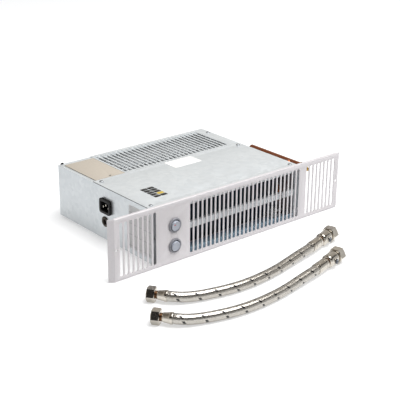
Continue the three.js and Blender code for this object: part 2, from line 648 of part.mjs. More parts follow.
// ---------------------------------------------------------------- heat exchanger
// Fins joined by a web down the middle of their depth, between two thicker end plates.
function buildFins() {
  const [face, back] = coilY;
  const webFront = (face + back - coil.webThickness) / 2;
  const webBack = webFront + coil.webThickness;
  const [left, right] = coilX;
  const inner = [left + coil.plateThickness, right - coil.plateThickness];
  const count = Math.floor((inner[1] - inner[0]) / coil.finPitch) - 1;
  const margin = (inner[1] - inner[0] - (count - 1) * coil.finPitch) / 2;
  const fins = Array.from({ length: count }, (_, i) =>
    about(inner[0] + margin + i * coil.finPitch, coil.finThickness));
  const front = fins.flatMap(([a, b]) =>
    [[a, webFront], [a, face], [b, face], [b, webFront]]);
  const rear = fins.flatMap(([a, b]) => [[a, webBack], [a, back], [b, back], [b, webBack]]).reverse();
  return prismZ(outlineShape([
    [left, face], [inner[0], face], [inner[0], webFront], ...front,
    [inner[1], webFront], [inner[1], face], [right, face], [right, back],
    [inner[1], back], [inner[1], webBack], ...rear, [inner[0], webBack], [inner[0], back],
    [left, back],
  ]), coil.bottom, coil.top);
}
add('coil_fins', buildFins(), aluminium);

// A half-circle bend between two points at the end plate, bulging away from it along X, with a
// short straight leg at each end.
function returnBend(x, [ya, za], [yb, zb], sign) {
  const centre = new THREE.Vector3(x + sign * coil.bendLeg, (ya + yb) / 2, (za + zb) / 2);
  const arm = new THREE.Vector3(0, (ya - yb) / 2, (za - zb) / 2);
  const arc = Array.from({ length: 9 }, (_, i) => {
    const angle = (Math.PI * i) / 8;
    const out = sign * arm.length() * Math.sin(angle);
    const point = centre.clone().addScaledVector(arm, Math.cos(angle));
    return [point.x + out, point.y, point.z];
  });
  return tube([[x, ya, za], ...arc, [x, yb, zb]], coil.tubeRadius, 8, 10);
}
const bendLeft = coilX[0] - gap;
const bendRight = coilX[1] + gap;
levelZ.forEach((z, i) => add(`coil_bend_left_${i + 1}`,
  returnBend(bendLeft, [rowY[0], z], [rowY[1], z], -1), copper));
add('coil_bend_right_1', returnBend(bendRight, [rowY[1], levelZ[0]], [rowY[1], levelZ[1]], 1), copper);
add('coil_bend_right_2', returnBend(bendRight, [rowY[0], levelZ[1]], [rowY[0], levelZ[2]], 1), copper);

const rearBore = (z) =>
  barY(pipeY[1] - pipe.boreDepth, pipeY[1] + 1, pipeX, z, pipe.bore);
add('flow_pipe', cut(
  join(
    barY(pipeY[0], pipeY[1], pipeX, levelZ[0], pipe.radius, 20),
    barX(bendRight, pipeX, rowY[0], levelZ[0], pipe.radius, 20),
  ),
  rearBore(levelZ[0]),
), copper);

function elbowPath(z) {
  const turn = Array.from({ length: 7 }, (_, i) => {
    const angle = (Math.PI / 2) * (i / 6);
    const [across, back] = [pipe.bend * (1 - Math.sin(angle)), pipe.bend * (1 - Math.cos(angle))];
    return [pipeX - across, rowY[1] + back, z];
  });
  const [startX, run] = [bendRight, (pipeX - pipe.bend - bendRight) / 3];
  return [
    [startX, rowY[1], z], [startX + run, rowY[1], z], [startX + 2 * run, rowY[1], z], ...turn,
    [pipeX, pipeY[1] - pipe.straightLength, z], [pipeX, pipeY[1] - pipe.straightLength / 2, z],
    [pipeX, pipeY[1], z],
  ];
}
add('return_pipe', cut(tube(elbowPath(levelZ[2]), pipe.radius, 12, 14), rearBore(levelZ[2])), copper);

const hexBack = pipeY[0] - gap;
const hexFront = hexBack - vent.hexLength;
const barrelFront = hexFront - vent.barrelLength;
add('air_vent_body', join(
  barY(hexFront, hexBack, pipeX, levelZ[0], vent.hexRadius, 6),
  barY(barrelFront, hexFront + 1, pipeX, levelZ[0], vent.barrelRadius, 16),
), brass);
const headFront = barrelFront - gap - vent.headLength;
add('air_vent_screw', join(
  barY(headFront, barrelFront - gap, pipeX, levelZ[0], vent.headRadius, 16),
  box(about(pipeX, vent.squareSize), [headFront - vent.squareLength, headFront + vent.headLength / 2],
    about(levelZ[0], vent.squareSize)),
), brass);

// ---------------------------------------------------------------- flow thermostat and its lead
const thermostatZ = flangeUnder - thermostat.drop - thermostat.height / 2;
const thermostatFront = coilY[0] - gap - thermostat.depth;
add('flow_thermostat', box(about(leadX, thermostat.width), [thermostatFront, coilY[0] - gap],
  about(thermostatZ, thermostat.height)), blackPlastic);
const plugFront = caseFront + plug.setback;
const plugZ = floorTop + gap + plug.height / 2;
add('sensor_plug', box(about(leadX, plug.width), [plugFront, plugFront + plug.depth],
  about(plugZ, plug.height)), whitePlastic);
const leadHangY = (sheet + railY) / 2 - 0.5;
add('sensor_lead', tube([
  [leadX, thermostatFront - gap, thermostatZ], [leadX, thermostatFront - gap - 6, thermostatZ],
  [leadX, caseFront + 5, thermostatZ - 0.5], [leadX, leadHangY + 1, thermostatZ - 7],
  [leadX, leadHangY, thermostatZ - 18], [leadX, leadHangY, frontRail.bottom + 8],
  [leadX, leadHangY, frontRail.bottom - 10], [leadX, leadHangY + 1, plugZ + 12],
  [leadX, caseFront + 4, plugZ + 5.5], [leadX, plugFront - gap - 5, plugZ + 2.6],
  [leadX, plugFront - gap, plugZ + 2.5],
], lead.radius, 8, 20), rubber);

// ---------------------------------------------------------------- hoses on the floor in front
// Each fitting lies with a flat of its nut on the floor.
const plainHeight = nut.acrossFlats / 2;
const valveHeight = pipeNut.acrossFlats / 2;
function hexBar(a, b, acrossFlats) {
  const radius = acrossFlats / 2 / Math.cos(Math.PI / 6);
  return new THREE.CylinderGeometry(radius, radius, b - a, 6).rotateY(Math.PI / 6)
    .rotateZ(Math.PI / 2).translate((a + b) / 2, 0, 0);
}

function swivelNut() {
  return cut(hexBar(0, nut.length, nut.acrossFlats),
    barX(-1, nut.length - nut.wall, 0, 0, nut.boreRadius, 18),
    barX(-1, nut.length + 1, 0, 0, nut.throatRadius, 18));
}

const plainEnd = nut.length + nut.neckLength + sleeve.length;
function plainFerrule() {
  const flange = nut.length - nut.wall - gap;
  const stem = nut.throatRadius - gap;
  const shoulder = nut.length + gap;
  const [face, boreEnd] = [flange - tail.flange, flange - tail.flange + tail.boreDepth];
  return turnedX([
    [face, tail.boreRadius], [face, tail.flangeRadius], [flange, tail.flangeRadius], [flange, stem],
    [shoulder, stem], [shoulder, sleeve.neckRadius], [shoulder + nut.neckLength / 2, sleeve.neckRadius],
    [plainEnd - sleeve.length, sleeve.radius], [plainEnd, sleeve.radius], [plainEnd, 0],
    [boreEnd, 0], [boreEnd, tail.boreRadius], [face, tail.boreRadius],
  ], 0, 0, 16);
}

const coneEnd = valve.sleeveLength + valve.coneLength;
const ferruleEnd = coneEnd + valve.neckLength;
const valveStart = ferruleEnd + gap;
const valveMiddle = valveStart + valve.length / 2;
const valveEnd = valveStart + valve.length;
const pipeNutStart = valveEnd + gap;
function valveFerrule() {
  return turnedX([
    [0, 0], [0, sleeve.radius], [valve.sleeveLength, sleeve.radius],
    [coneEnd, sleeve.neckRadius + 1], [ferruleEnd, sleeve.neckRadius + 1], [ferruleEnd, 0],
  ], 0, 0, 16);
}

function valveBody() {
  const tailEnd = valveEnd + valve.tailLength;
  const body = turnedX([
    [valveStart, 0], [valveStart, valve.radius - valve.round], [valveStart + valve.round, valve.radius],
    [valveEnd - valve.round, valve.radius], [valveEnd, valve.tailRadius],
    [tailEnd, valve.tailRadius], [tailEnd, 0],
  ], 0, 0, 16);
  const boss = barY(-valve.radius - valve.bossProud, 0, valveMiddle, 0, valve.bossRadius, 16);
  const bore = barX(valveEnd + valve.tailWall, tailEnd + 1, 0, 0, valve.tailRadius - valve.tailWall, 16);
  return cut(join(body, boss), bore);
}

function valveScrew() {
  const seat = -valve.radius - valve.bossProud - gap;
  const face = seat - valve.screwProud;
  const [slotWidth, slotDepth] = valve.screwSlot;
  return cut(
    barY(face, seat, valveMiddle, 0, valve.screwRadius, 16),
    box(about(valveMiddle, valve.screwRadius * 3), [face - 1, face + slotDepth], about(0, slotWidth)));
}

function compressionNut() {
  const end = pipeNutStart + pipeNut.length;
  return cut(hexBar(pipeNutStart, end, pipeNut.acrossFlats),
    barX(pipeNutStart - 1, end - pipeNut.wall, 0, 0, pipeNut.boreRadius, 18),
    barX(pipeNutStart - 1, end + 1, 0, 0, pipeNut.pipeHoleRadius, 18));
}

function fittingGroup(name, [x, y], height, heading) {
  const group = new THREE.Group();
  group.name = name;
  group.position.set(x, y, height);
  group.rotation.z = THREE.MathUtils.degToRad(heading);
  heater.add(group);
  return group;
}

// Height of a route point: level with the fittings at both ends, down on the floor between.
function routeHeight(i, count) {
  const fromEnd = Math.min(i, count - 1 - i);
  const fittingHeight = i < count / 2 ? plainHeight : valveHeight;
  const climb = THREE.MathUtils.smoothstep(hoseLift - fromEnd, -1, hoseLift);
  return hose.restHeight + (fittingHeight - hose.restHeight) * climb;
}

hoseRoutes.forEach(({ name, startHeading, endHeading, points }) => {
  const count = points.length;
  const heading = (degrees) => {
    const angle = THREE.MathUtils.degToRad(degrees);
    return [Math.cos(angle), Math.sin(angle)];
  };
  const [startDirection, endDirection] = [heading(startHeading), heading(endHeading)];
  const shifted = (point, direction, distance) =>
    [point[0] + direction[0] * distance, point[1] + direction[1] * distance];
  const first = points[0];
  const last = points[count - 1];
  const route = [
    [...shifted(first, startDirection, gap), plainHeight],
    [...shifted(first, startDirection, hoseStraight), plainHeight],
    ...points.slice(1, -1).map(([x, y], i) => [x, y, routeHeight(i + 1, count)]),
    [...shifted(last, endDirection, -hoseStraight), valveHeight],
    [...shifted(last, endDirection, -gap), valveHeight],
  ];
  add(`${name}_tube`, tube(route, hose.radius, 10, 20), braid);
  const nutPlace = shifted(first, startDirection, -plainEnd);
  const plain = fittingGroup(`${name}_plain_end`, nutPlace, plainHeight, startHeading);
  add(`${name}_swivel_nut`, swivelNut(), nickel, plain);
  add(`${name}_plain_ferrule`, plainFerrule(), nickel, plain);
  const valved = fittingGroup(`${name}_valve_end`, last, valveHeight, endHeading);
  add(`${name}_valve_ferrule`, valveFerrule(), nickel, valved);
  add(`${name}_valve_body`, valveBody(), nickel, valved);
  add(`${name}_valve_screw`, valveScrew(), brass, valved);
  add(`${name}_compression_nut`, compressionNut(), nickel, valved);
});

const model = new THREE.Group();
heater.position.y = -originY;
model.add(heater);

export default model;
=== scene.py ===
"""Plinth heater: the looks of a low fan convector and its two braided hoses.

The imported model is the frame. Camera and tools come first, then materials, then the pieces that
take over from the plain solids, and last the floor and the light. Pieces are drawn in
millimetres: x along the grille, row behind its front face, z up from the floor. metres() puts
them into the model's frame.
"""
import math

import bmesh
import bpy
import numpy as np
from mathutils import Matrix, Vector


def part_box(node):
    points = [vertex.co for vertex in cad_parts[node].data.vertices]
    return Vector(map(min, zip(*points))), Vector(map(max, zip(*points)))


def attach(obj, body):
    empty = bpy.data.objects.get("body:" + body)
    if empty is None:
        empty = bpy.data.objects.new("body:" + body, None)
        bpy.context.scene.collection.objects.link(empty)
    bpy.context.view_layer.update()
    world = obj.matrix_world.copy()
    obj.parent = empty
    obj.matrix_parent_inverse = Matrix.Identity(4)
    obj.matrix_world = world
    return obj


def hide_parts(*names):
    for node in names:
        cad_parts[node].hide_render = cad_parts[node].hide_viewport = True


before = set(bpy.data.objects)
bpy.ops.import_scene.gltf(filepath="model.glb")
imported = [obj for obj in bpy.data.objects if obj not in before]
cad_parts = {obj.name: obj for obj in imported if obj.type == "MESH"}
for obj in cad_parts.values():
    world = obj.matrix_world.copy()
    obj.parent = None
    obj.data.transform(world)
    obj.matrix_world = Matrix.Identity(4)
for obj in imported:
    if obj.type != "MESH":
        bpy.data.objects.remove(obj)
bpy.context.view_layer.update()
MM = 0.001
TURN = 2 * math.pi
UP = (0, 0, 1)
BACK = (0, 1, 0)
RIGHT = (1, 0, 0)
FACE_SHIFT = np.array([0, 132.67, 0])  # from the grille's front face back to the origin


def metres(points):
    """Drawing coordinates as metres in the model's frame."""
    return (np.asarray(points, float) - FACE_SHIFT) * MM


def node_box(name):
    """A node's lowest and highest corners at rest, in drawing coordinates."""
    return np.array(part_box(name)) / MM + FACE_SHIFT


# ------------------------------------------------------------------------------ camera
CAMERA_PLACE = np.array([-1044.06, -1283.08, 696.76]) * MM
CAMERA_YAW, CAMERA_PITCH, CAMERA_ROLL = (math.radians(a) for a in (40.09, 21.858, 0.507))
CAMERA_LENS = 92.634


def looking(right, up, ahead, stand):
    """Matrix of a camera or lamp, which looks down its own -Z."""
    turn = np.eye(4)
    turn[:3] = np.column_stack([right, up, -ahead, stand])
    return Matrix(turn)


def make_camera():
    """Looks along (sin yaw cos pitch, cos yaw cos pitch, -sin pitch), rolled about that line."""
    level = np.array([math.sin(CAMERA_YAW), math.cos(CAMERA_YAW), 0]) * math.cos(CAMERA_PITCH)
    ahead = level - [0, 0, math.sin(CAMERA_PITCH)]
    right = np.array([math.cos(CAMERA_YAW), -math.sin(CAMERA_YAW), 0])
    up = np.cross(right, ahead)
    c, s = math.cos(CAMERA_ROLL), math.sin(CAMERA_ROLL)
    camera = bpy.data.objects.new("photo_camera", bpy.data.cameras.new("photo_camera"))
    camera.data.lens = CAMERA_LENS
    camera.data.sensor_width = 36
    camera.matrix_world = looking(c * right + s * up, c * up - s * right, ahead, CAMERA_PLACE)
    bpy.context.scene.collection.objects.link(camera)
    bpy.context.scene.camera = camera


make_camera()


# ------------------------------------------------------------------------------ mesh tools
class Shell:
    """One closed surface: points, four-cornered faces and a few faces of other sizes."""

    def __init__(self, points, quads, others, quad_uv):
        self.points = np.asarray(points, float)
        self.quads = quads
        self.others = others
        self.quad_uv = quad_uv
        if self.volume() < 0:
            self.quads = self.quads[:, ::-1]
            self.others = [f[::-1] for f in self.others]
            self.quad_uv = {k: v[:, ::-1] for k, v in self.quad_uv.items()}

    def volume(self):
        """Sum of the tetrahedra from the origin to each triangle of the surface."""
        fans = [[f[0], f[i], f[i + 1]] for f in self.others for i in range(1, len(f) - 1)]
        halves = [self.quads[:, [0, 1, 2]], self.quads[:, [0, 2, 3]]]
        triangles = np.concatenate(halves + ([np.array(fans)] if fans else []))
        a, b, c = (self.points[triangles[:, k]] for k in range(3))
        return float((a * np.cross(b, c)).sum()) / 6


def skin(rows, loop=False, uv=None):
    """A surface through rows of points, an (n, m, 3) array, each row closed on itself.

    loop also joins the last row to the first; otherwise each end is a flat cap, or a pole where
    its row has shrunk to a point. uv holds (n, m + 1, 2) arrays by the name of their map.
    """
    rows = np.asarray(rows, float)
    n, m = rows.shape[:2]
    index = np.arange(n * m).reshape(n, m)
    i, j = np.meshgrid(np.arange(n if loop else n - 1), np.arange(m), indexing="ij")
    i, j = i.ravel(), j.ravel()
    across, along = (j + 1) % m, (i + 1) % n
    quads = np.stack([index[i, j], index[i, across], index[along, across], index[along, j]], 1)
    maps = {
        name: np.stack([value[i, j], value[i, j + 1], value[along, j + 1], value[along, j]], 1)
        for name, value in (uv or {}).items()
    }
    ends = [] if loop else [list(index[0])[::-1], list(index[-1])]
    return Shell(rows.reshape(-1, 3), quads, ends, maps)


def frames_along(path, up=UP):
    """Unit sides and ups along a path, each up the last one made square to the path again."""
    tangents = np.gradient(path, axis=0)
    tangents /= np.linalg.norm(tangents, axis=1)[:, None]
    sides, ups = np.zeros_like(path), np.zeros_like(path)
    last = np.array(up, float)
    for k, tangent in enumerate(tangents):
        last = last - tangent * last.dot(tangent)
        last /= np.linalg.norm(last)
        ups[k], sides[k] = last, np.cross(last, tangent)
    return sides, ups


def hoops(side, up, count):
    """A unit ring, side cos a + up sin a, for each pair of sides and ups."""
    angle = np.arange(count)[None, :, None] * TURN / count
    return side[:, None] * np.cos(angle) + up[:, None] * np.sin(angle)


def swept(path, radius, sides, up=UP, uv=None):
    """A tube: each point of the path carries a ring of its radius."""
    radius = np.ones((len(path), sides)) * radius
    return skin(path[:, None] + hoops(*frames_along(path, up), sides) * radius[..., None], uv=uv)


def place(origin, axis, up=UP):
    """Origin, and the unit axis, side and up of a local frame."""
    axis = np.array(axis, float) / np.linalg.norm(axis)
    up = np.array(up, float) - axis * np.dot(up, axis)
    up /= np.linalg.norm(up)
    return np.array(origin, float), axis, np.cross(up, axis), up


def turned(profile, where, sides, shape=None, loop=False):
    """Revolves (along, radius) pairs: origin + along axis + radius (side cos a + up sin a).

    shape takes the (n, sides) arrays of distance along, radius and angle, and returns new values
    of the first two. A radius of zero at either end closes the surface to a point; loop closes
    the profile on itself.
    """
    origin, axis, side, up = where
    profile = np.asarray(profile, float)
    angle = np.broadcast_to(np.arange(sides) * TURN / sides, (len(profile), sides))
    along, radius = (np.repeat(profile[:, k:k + 1], sides, 1) for k in (0, 1))
    if shape is not None:
        along, radius = shape(along, radius, angle)
    ring = side * np.cos(angle)[..., None] + up * np.sin(angle)[..., None]
    return skin(origin + along[..., None] * axis + radius[..., None] * ring, loop=loop)


def round_outline(width, height, corner, steps):
    """A rectangle about its middle with quarter-circle corners."""
    quarter = np.linspace(0, math.pi / 2, steps + 1)
    points = []
    for k, (sx, sy) in enumerate(((1, 1), (-1, 1), (-1, -1), (1, -1))):
        angle = quarter + k * math.pi / 2
        centre = np.array([sx * (width / 2 - corner), sy * (height / 2 - corner)])
        points.append(centre + corner * np.stack([np.cos(angle), np.sin(angle)], 1))
    return np.concatenate(points)


def lofted(rows, where, steps=6):
    """Rounded rectangles (along, width, height, corner) joined one after another."""
    origin, axis, side, up = where
    rings = []
    for along, *sizes in rows:
        outline = round_outline(*sizes, steps)
        rings.append(origin + along * axis + outline[:, :1] * side + outline[:, 1:] * up)
    return skin(rings)


def prism(outline, reach, where):
    """An outline of (side, up) pairs, carried straight along the axis."""
    origin, axis, side, up = where
    flat = origin + outline[:, :1] * side + outline[:, 1:] * up
    return skin(np.stack([flat, flat + axis * reach]))


def along_x(outline, first, last, row=0, z=0):
    """An outline of (row, z) pairs, carried from one x to another."""
    return prism(outline, last - first, place((first, row, z), RIGHT))


def along_z(outline, bottom, top):
    """An outline of (x, row) pairs, carried from one height to another."""
    return prism(outline, top - bottom, place((0, 0, bottom), UP, BACK))


def block(lowest, highest):
    """A box between two corners."""
    (x0, y0, z0), (x1, y1, z1) = lowest, highest
    return along_x(np.array([(y0, z0), (y1, z0), (y1, z1), (y0, z1)]), x0, x1)


def ribbon(line, thickness):
    """The outline of a bent sheet: its middle line moved half a thickness to either side."""
    line = line[np.concatenate([[True], np.linalg.norm(np.diff(line, axis=0), axis=1) > 1e-6])]
    along = np.gradient(line, axis=0)
    along /= np.linalg.norm(along, axis=1)[:, None]
    across = np.stack([-along[:, 1], along[:, 0]], 1) * thickness / 2
    return np.concatenate([line + across, (line - across)[::-1]])


def bent(corners, radius, steps=6):
    """A line through corners, with each inner corner rounded over the reach of a circle of the
    given radius, by a parabola between the circle's two touching points."""
    corners = np.asarray(corners, float)
    points = [corners[0]]
    for before, corner, after in zip(corners, corners[1:], corners[2:]):
        a, b = before - corner, after - corner
        a, b = a / np.linalg.norm(a), b / np.linalg.norm(b)
        reach = radius / math.tan(math.acos(np.clip(a.dot(b), -1, 1)) / 2)
        t = np.linspace(0, 1, steps + 1)[:, None]
        points.extend((1 - t) ** 2 * (corner + a * reach) + 2 * t * (1 - t) * corner
                      + t ** 2 * (corner + b * reach))
    points.append(corners[-1])
    return np.array(points)


def rework(mesh, distance, finish=None):
    """Merges a mesh's points that lie closer than a distance, then lets finish change the rest."""
    work = bmesh.new()
    work.from_mesh(mesh)
    bmesh.ops.remove_doubles(work, verts=work.verts, dist=distance)
    if finish:
        finish(work)
    work.to_mesh(mesh)
    work.free()


def dress(name, mesh, material, replaces, smooth, body="heater", bevel=0):
    """Cleans a mesh, gives it a material and rides it on a body. bevel rounds its sharp edges."""
    rework(mesh, 1e-7)
    mesh.validate()
    mesh.shade_smooth()
    mesh.set_sharp_from_angle(angle=math.radians(smooth))
    mesh.materials.append(material)
    piece = bpy.data.objects.new(name, mesh)
    bpy.context.scene.collection.objects.link(piece)
    if bevel:
        edges = piece.modifiers.new("edges", "BEVEL")
        edges.width = bevel * MM
        edges.segments = 2
        edges.limit_method = "ANGLE"
        edges.angle_limit = math.radians(40)
        edges.harden_normals = True
    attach(piece, body)
    if replaces:
        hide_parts(replaces)
    return piece


def build(name, shells, material, replaces=None, smooth=30, body="heater"):
    """Puts shells into one mesh at the origin, and rides it on a body."""
    shells = shells if isinstance(shells, list) else [shells]
    starts = np.cumsum([0] + [len(s.points) for s in shells])
    faces = []
    for start, shell in zip(starts, shells):
        faces += (shell.quads + start).tolist() + [[v + start for v in f] for f in shell.others]
    mesh = bpy.data.meshes.new(name)
    mesh.from_pydata(metres(np.concatenate([s.points for s in shells])).tolist(), [], faces)
    for key in shells[0].quad_uv:
        values = np.concatenate([
            np.concatenate([s.quad_uv[key].reshape(-1, 2), np.zeros((sum(map(len, s.others)), 2))])
            for s in shells])
        mesh.uv_layers.new(name=key).data.foreach_set("uv", values.ravel())
    return dress(name, mesh, material, replaces, smooth, body)


# ------------------------------------------------------------------------------ materials
def linear(code):
    """An sRGB hex colour as linear red, green, blue and alpha."""
    values = [int(code[k:k + 2], 16) / 255 for k in (1, 3, 5)]
    return [v / 12.92 if v <= 0.04045 else ((v + 0.055) / 1.055) ** 2.4 for v in values] + [1.0]


def feed(tree, made, inputs):
    """Fills a node's inputs: a socket is linked, a hex colour made linear, a number set."""
    for key, value in inputs.items():
        if isinstance(value, bpy.types.NodeSocket):
            tree.links.new(value, made.inputs[key])
        else:
            made.inputs[key].default_value = linear(value) if isinstance(value, str) else value


def node(tree, kind, inputs, **settings):
    """Adds a shader node with its settings and inputs, and returns its outputs."""
    made = tree.nodes.new(kind)
    for key, value in settings.items():
        setattr(made, key, value)
    feed(tree, made, inputs)
    return made.outputs


def mixed(tree, factor, a, b):
    """A colour between two."""
    return node(tree, "ShaderNodeMix", {"Factor": factor, "A": a, "B": b}, data_type="RGBA")["Result"]


def reckoned(tree, operation, *values):
    """The result of a Math node."""
    return node(tree, "ShaderNodeMath", dict(enumerate(values)), operation=operation)[0]


def ranged(tree, value, to_min, to_max, from_min=0.0, from_max=1.0):
    """A value carried linearly from one range to another, and held at its ends."""
    return node(tree, "ShaderNodeMapRange", {
        "Value": value, "From Min": from_min, "From Max": from_max, "To Min": to_min,
        "To Max": to_max})[0]


def noise(tree, coords, size, detail=2.0):
    """Noise with patches of a size in millimetres."""
    return node(tree, "ShaderNodeTexNoise", {
        "Vector": coords, "Scale": 1 / (size * MM), "Detail": detail})[0]


def bumped(tree, height, strength, distance):
    """A normal tilted by a height field, over a distance in millimetres."""
    return node(tree, "ShaderNodeBump", {
        "Height": height, "Strength": strength, "Distance": distance * MM})[0]


def separated(tree, vector):
    """The three parts of a vector."""
    return node(tree, "ShaderNodeSeparateXYZ", {"Vector": vector})


def blank(name, slot):
    """A material with an output, a Principled shader and object coordinates."""
    material = bpy.data.materials.new(name)
    material.use_nodes = True
    material["slot"] = slot
    tree = material.node_tree
    tree.nodes.clear()
    shader = tree.nodes.new("ShaderNodeBsdfPrincipled")
    node(tree, "ShaderNodeOutputMaterial", {"Surface": shader.outputs[0]})
    return material, tree, shader, node(tree, "ShaderNodeTexCoord", {})["Object"]


def speckled(name, slot, dark, light, grain, roughness, relief, metallic=0.0, ior=1.5, coat=0.0):
    """A finish whose colour and gloss drift over soft patches of the given grain size.

    Colour runs from dark to light with a noise field. A second field, a quarter of the grain
    wide, runs the roughness over its own pair of values and gives the relief.
    """
    material, tree, shader, coords = blank(name, slot)
    patches = noise(tree, coords, grain, 4.0)
    fine = noise(tree, coords, grain / 4, 3.0)
    feed(tree, shader, {
        "Base Color": mixed(tree, patches, dark, light), "Roughness": ranged(tree, fine, *roughness),
        "Normal": bumped(tree, fine, 0.5, relief), "Metallic": metallic, "IOR": ior,
        "Coat Weight": coat})
    return material


def galvanised_sheet():
    """Hot-dip galvanised steel: zinc crystals a few millimetres wide that catch light unevenly."""
    material, tree, shader, coords = blank("galvanised_sheet", "zinc_steel")
    crystals = node(tree, "ShaderNodeTexVoronoi", {"Vector": coords, "Scale": 1 / (7 * MM)})
    cell = node(tree, "ShaderNodeSeparateColor", {"Color": crystals["Color"]})
    blend = reckoned(tree, "MULTIPLY", cell[0], noise(tree, coords, 60, 5.0))
    feed(tree, shader, {
        "Base Color": mixed(tree, blend, "#d9dee1", "#e9edef"),
        "Roughness": ranged(tree, cell[1], 0.34, 0.46),
        "Normal": bumped(tree, noise(tree, coords, 1.2), 0.25, 0.03), "Metallic": 0.55})
    return material


def woven_steel():
    """Braid of stainless wire, six to a strand, with one black tracer strand.

    The strand map counts strands round the hose in the two winding directions, so a sine of six
    times that count gives the wires. The mark map says which direction lies on top, and where the
    tracer runs.
    """
    material, tree, shader, _ = blank("woven_steel", "braid")
    strands, marks = (separated(tree, node(tree, "ShaderNodeUVMap", {}, uv_map=name)[0])
                      for name in ("strand", "mark"))
    top = node(tree, "ShaderNodeMix", {"Factor": marks[0], "A": strands[1], "B": strands[0]})[0]
    wires = reckoned(tree, "SINE", reckoned(tree, "MULTIPLY", top, 6 * TURN))
    steel = mixed(tree, ranged(tree, wires, 0.0, 1.0, -1.0), "#827d75", "#dad6cf")
    feed(tree, shader, {
        "Base Color": mixed(tree, marks[1], steel, "#0b0b0d"),
        "Metallic": ranged(tree, marks[1], 0.9, 0.0), "Roughness": 0.24,
        "Normal": bumped(tree, wires, 0.25, 0.06)})
    return material


def ruled_paper():
    """White label stock with an empty printed table: thin grey rules, no words."""
    material, tree, shader, coords = blank("ruled_paper", "white_plastic")
    flat = node(tree, "ShaderNodeMapping", {
        "Vector": coords, "Rotation": (math.pi / 2, 0.0, math.pi / 2)})[0]
    rules = node(tree, "ShaderNodeTexBrick", {
        "Vector": flat, "Scale": 1.0, "Mortar Size": 0.35 * MM, "Mortar Smooth": 0.1,
        "Brick Width": 19 * MM, "Row Height": 8.5 * MM, "Color1": "#f8f8f7", "Color2": "#f3f3f2",
        "Mortar": "#bcbcc0"}, offset=0.0)
    feed(tree, shader, {
        "Base Color": rules["Color"], "Roughness": 0.55,
        "Normal": bumped(tree, noise(tree, coords, 0.6), 0.2, 0.02)})
    return material


ZINC = galvanised_sheet()
BRAID = woven_steel()
RULED = ruled_paper()
# Silver stoving enamel on steel: fine metallic flake, satin, faint orange peel.
SILVER = speckled("silver_enamel", "grille_silver", "#d3cfd1", "#dcd8da", 3, (0.36, 0.46), 0.02, 0.25)
# Moulded polystyrene cover, matt beige with a fine spark texture.
BEIGE = speckled("beige_moulding", "beige_plastic", "#b0a698", "#bdb4a7", 2, (0.5, 0.65), 0.05)
# Polyamide with mineral filler: near black, half matt.
BLACK = speckled("black_polyamide", "black_plastic", "#08080a", "#121214", 1.5, (0.45, 0.6), 0.04, ior=1.38)
# Grey polycarbonate bezel, moulded.
GREY = speckled("grey_moulding", "black_plastic", "#84848a", "#909096", 1.5, (0.35, 0.45), 0.03)
# Polished polycarbonate rocker, clear gloss over pale blue-grey.
LENS = speckled("rocker_lens", "grey_lens", "#a3a8b4", "#b4b9c4", 4, (0.15, 0.25), 0.01, ior=1.58, coat=0.4)
# Nickel plate on brass: bright, with a slight warm haze.
NICKEL = speckled("nickel_plate", "nickel", "#b5afa5", "#cfcac1", 5, (0.12, 0.24), 0.02, 1.0)
# Valve screws, zinc plate passivated to a darker grey.
PLATED = speckled("plated_steel", "nickel", "#55585e", "#7c8086", 2, (0.25, 0.4), 0.02, 0.9)
# Case screws, bright zinc plate gone a little dull.
SCREW = speckled("zinc_plate", "nickel", "#93969a", "#b9bcc0", 2, (0.3, 0.45), 0.02, 0.8)
# Bare sheared edge of the cover sheet, without zinc; its dark grey also paints the shadow line under the
# cover's edge.
SHEARED_AND_SHADE = speckled("sheared_steel_and_shade", "zinc_steel", "#34383b", "#565a5e", 2, (0.35, 0.5), 0.02, 0.6)
# Bright rolled aluminium of the fan's blades.
BRIGHT = speckled("rolled_aluminium", "aluminium", "#dcdee0", "#f1f2f3", 5, (0.35, 0.5), 0.02, 0.35)
# Brown-grey chloroprene of the cable grommet.
GROMMET = speckled("grommet_rubber", "rubber", "#3f3a35", "#6a6158", 2, (0.6, 0.8), 0.05)
# White polyester powder coat inside the air duct.
POWDER = speckled("white_powder_coat", "zinc_steel", "#f4f5f6", "#fbfbfb", 3, (0.45, 0.6), 0.03)
# Blue polyethylene film that protects the tray until it is fitted: thin, half glossy, wrinkled.
FILM = speckled("blue_film", "black_plastic", "#7d9cb0", "#98b4c5", 12, (0.25, 0.45), 0.15)
# Tarnished nickel and flux stain at the crimps.
STAINED = speckled("stained_brass", "nickel", "#5a3a26", "#8a6a4e", 3, (0.25, 0.45), 0.03, 1.0)
# Drawn copper tube, dulled by handling.
COPPER = speckled("drawn_copper", "copper", "#8a4d33", "#b9754e", 9, (0.28, 0.42), 0.02, 1.0)
# Turned brass.
BRASS = speckled("turned_brass", "brass", "#a8822f", "#c9a14c", 6, (0.2, 0.34), 0.02, 1.0)
# Mill-finish aluminium castings.
ALUMINIUM = speckled("mill_aluminium", "aluminium", "#8f9399", "#b1b5ba", 5, (0.3, 0.45), 0.02, 0.9)
# Blue-grey lacquered aluminium fin foil, its dark tone painted shade for the inside of the outlet.
FOIL_AND_SHADE = speckled("lacquered_foil_and_shade", "aluminium", "#3a4b5a", "#56697a", 6, (0.35, 0.5), 0.02, 0.4)
# Black synthetic rubber with a dusty bloom.
RUBBER = speckled("black_rubber", "rubber", "#141415", "#242426", 2, (0.7, 0.9), 0.06)
# White moulded polyamide.
WHITE = speckled("white_moulding", "white_plastic", "#d2d2cd", "#dededa", 2, (0.4, 0.55), 0.03)
# Plain white label stock.
PAPER = speckled("label_paper", "white_plastic", "#eceae6", "#f2f0ed", 3, (0.5, 0.6), 0.02)
# Black vinyl of the blank wiring label.
BLACK_VINYL = speckled("black_vinyl", "black_plastic", "#0e0e0f", "#1a1a1c", 3, (0.35, 0.5), 0.02)
# Yellow vinyl of its one yellow field.
YELLOW_VINYL = speckled("yellow_vinyl", "beige_plastic", "#b99a1e", "#cdb134", 3, (0.35, 0.5), 0.02)
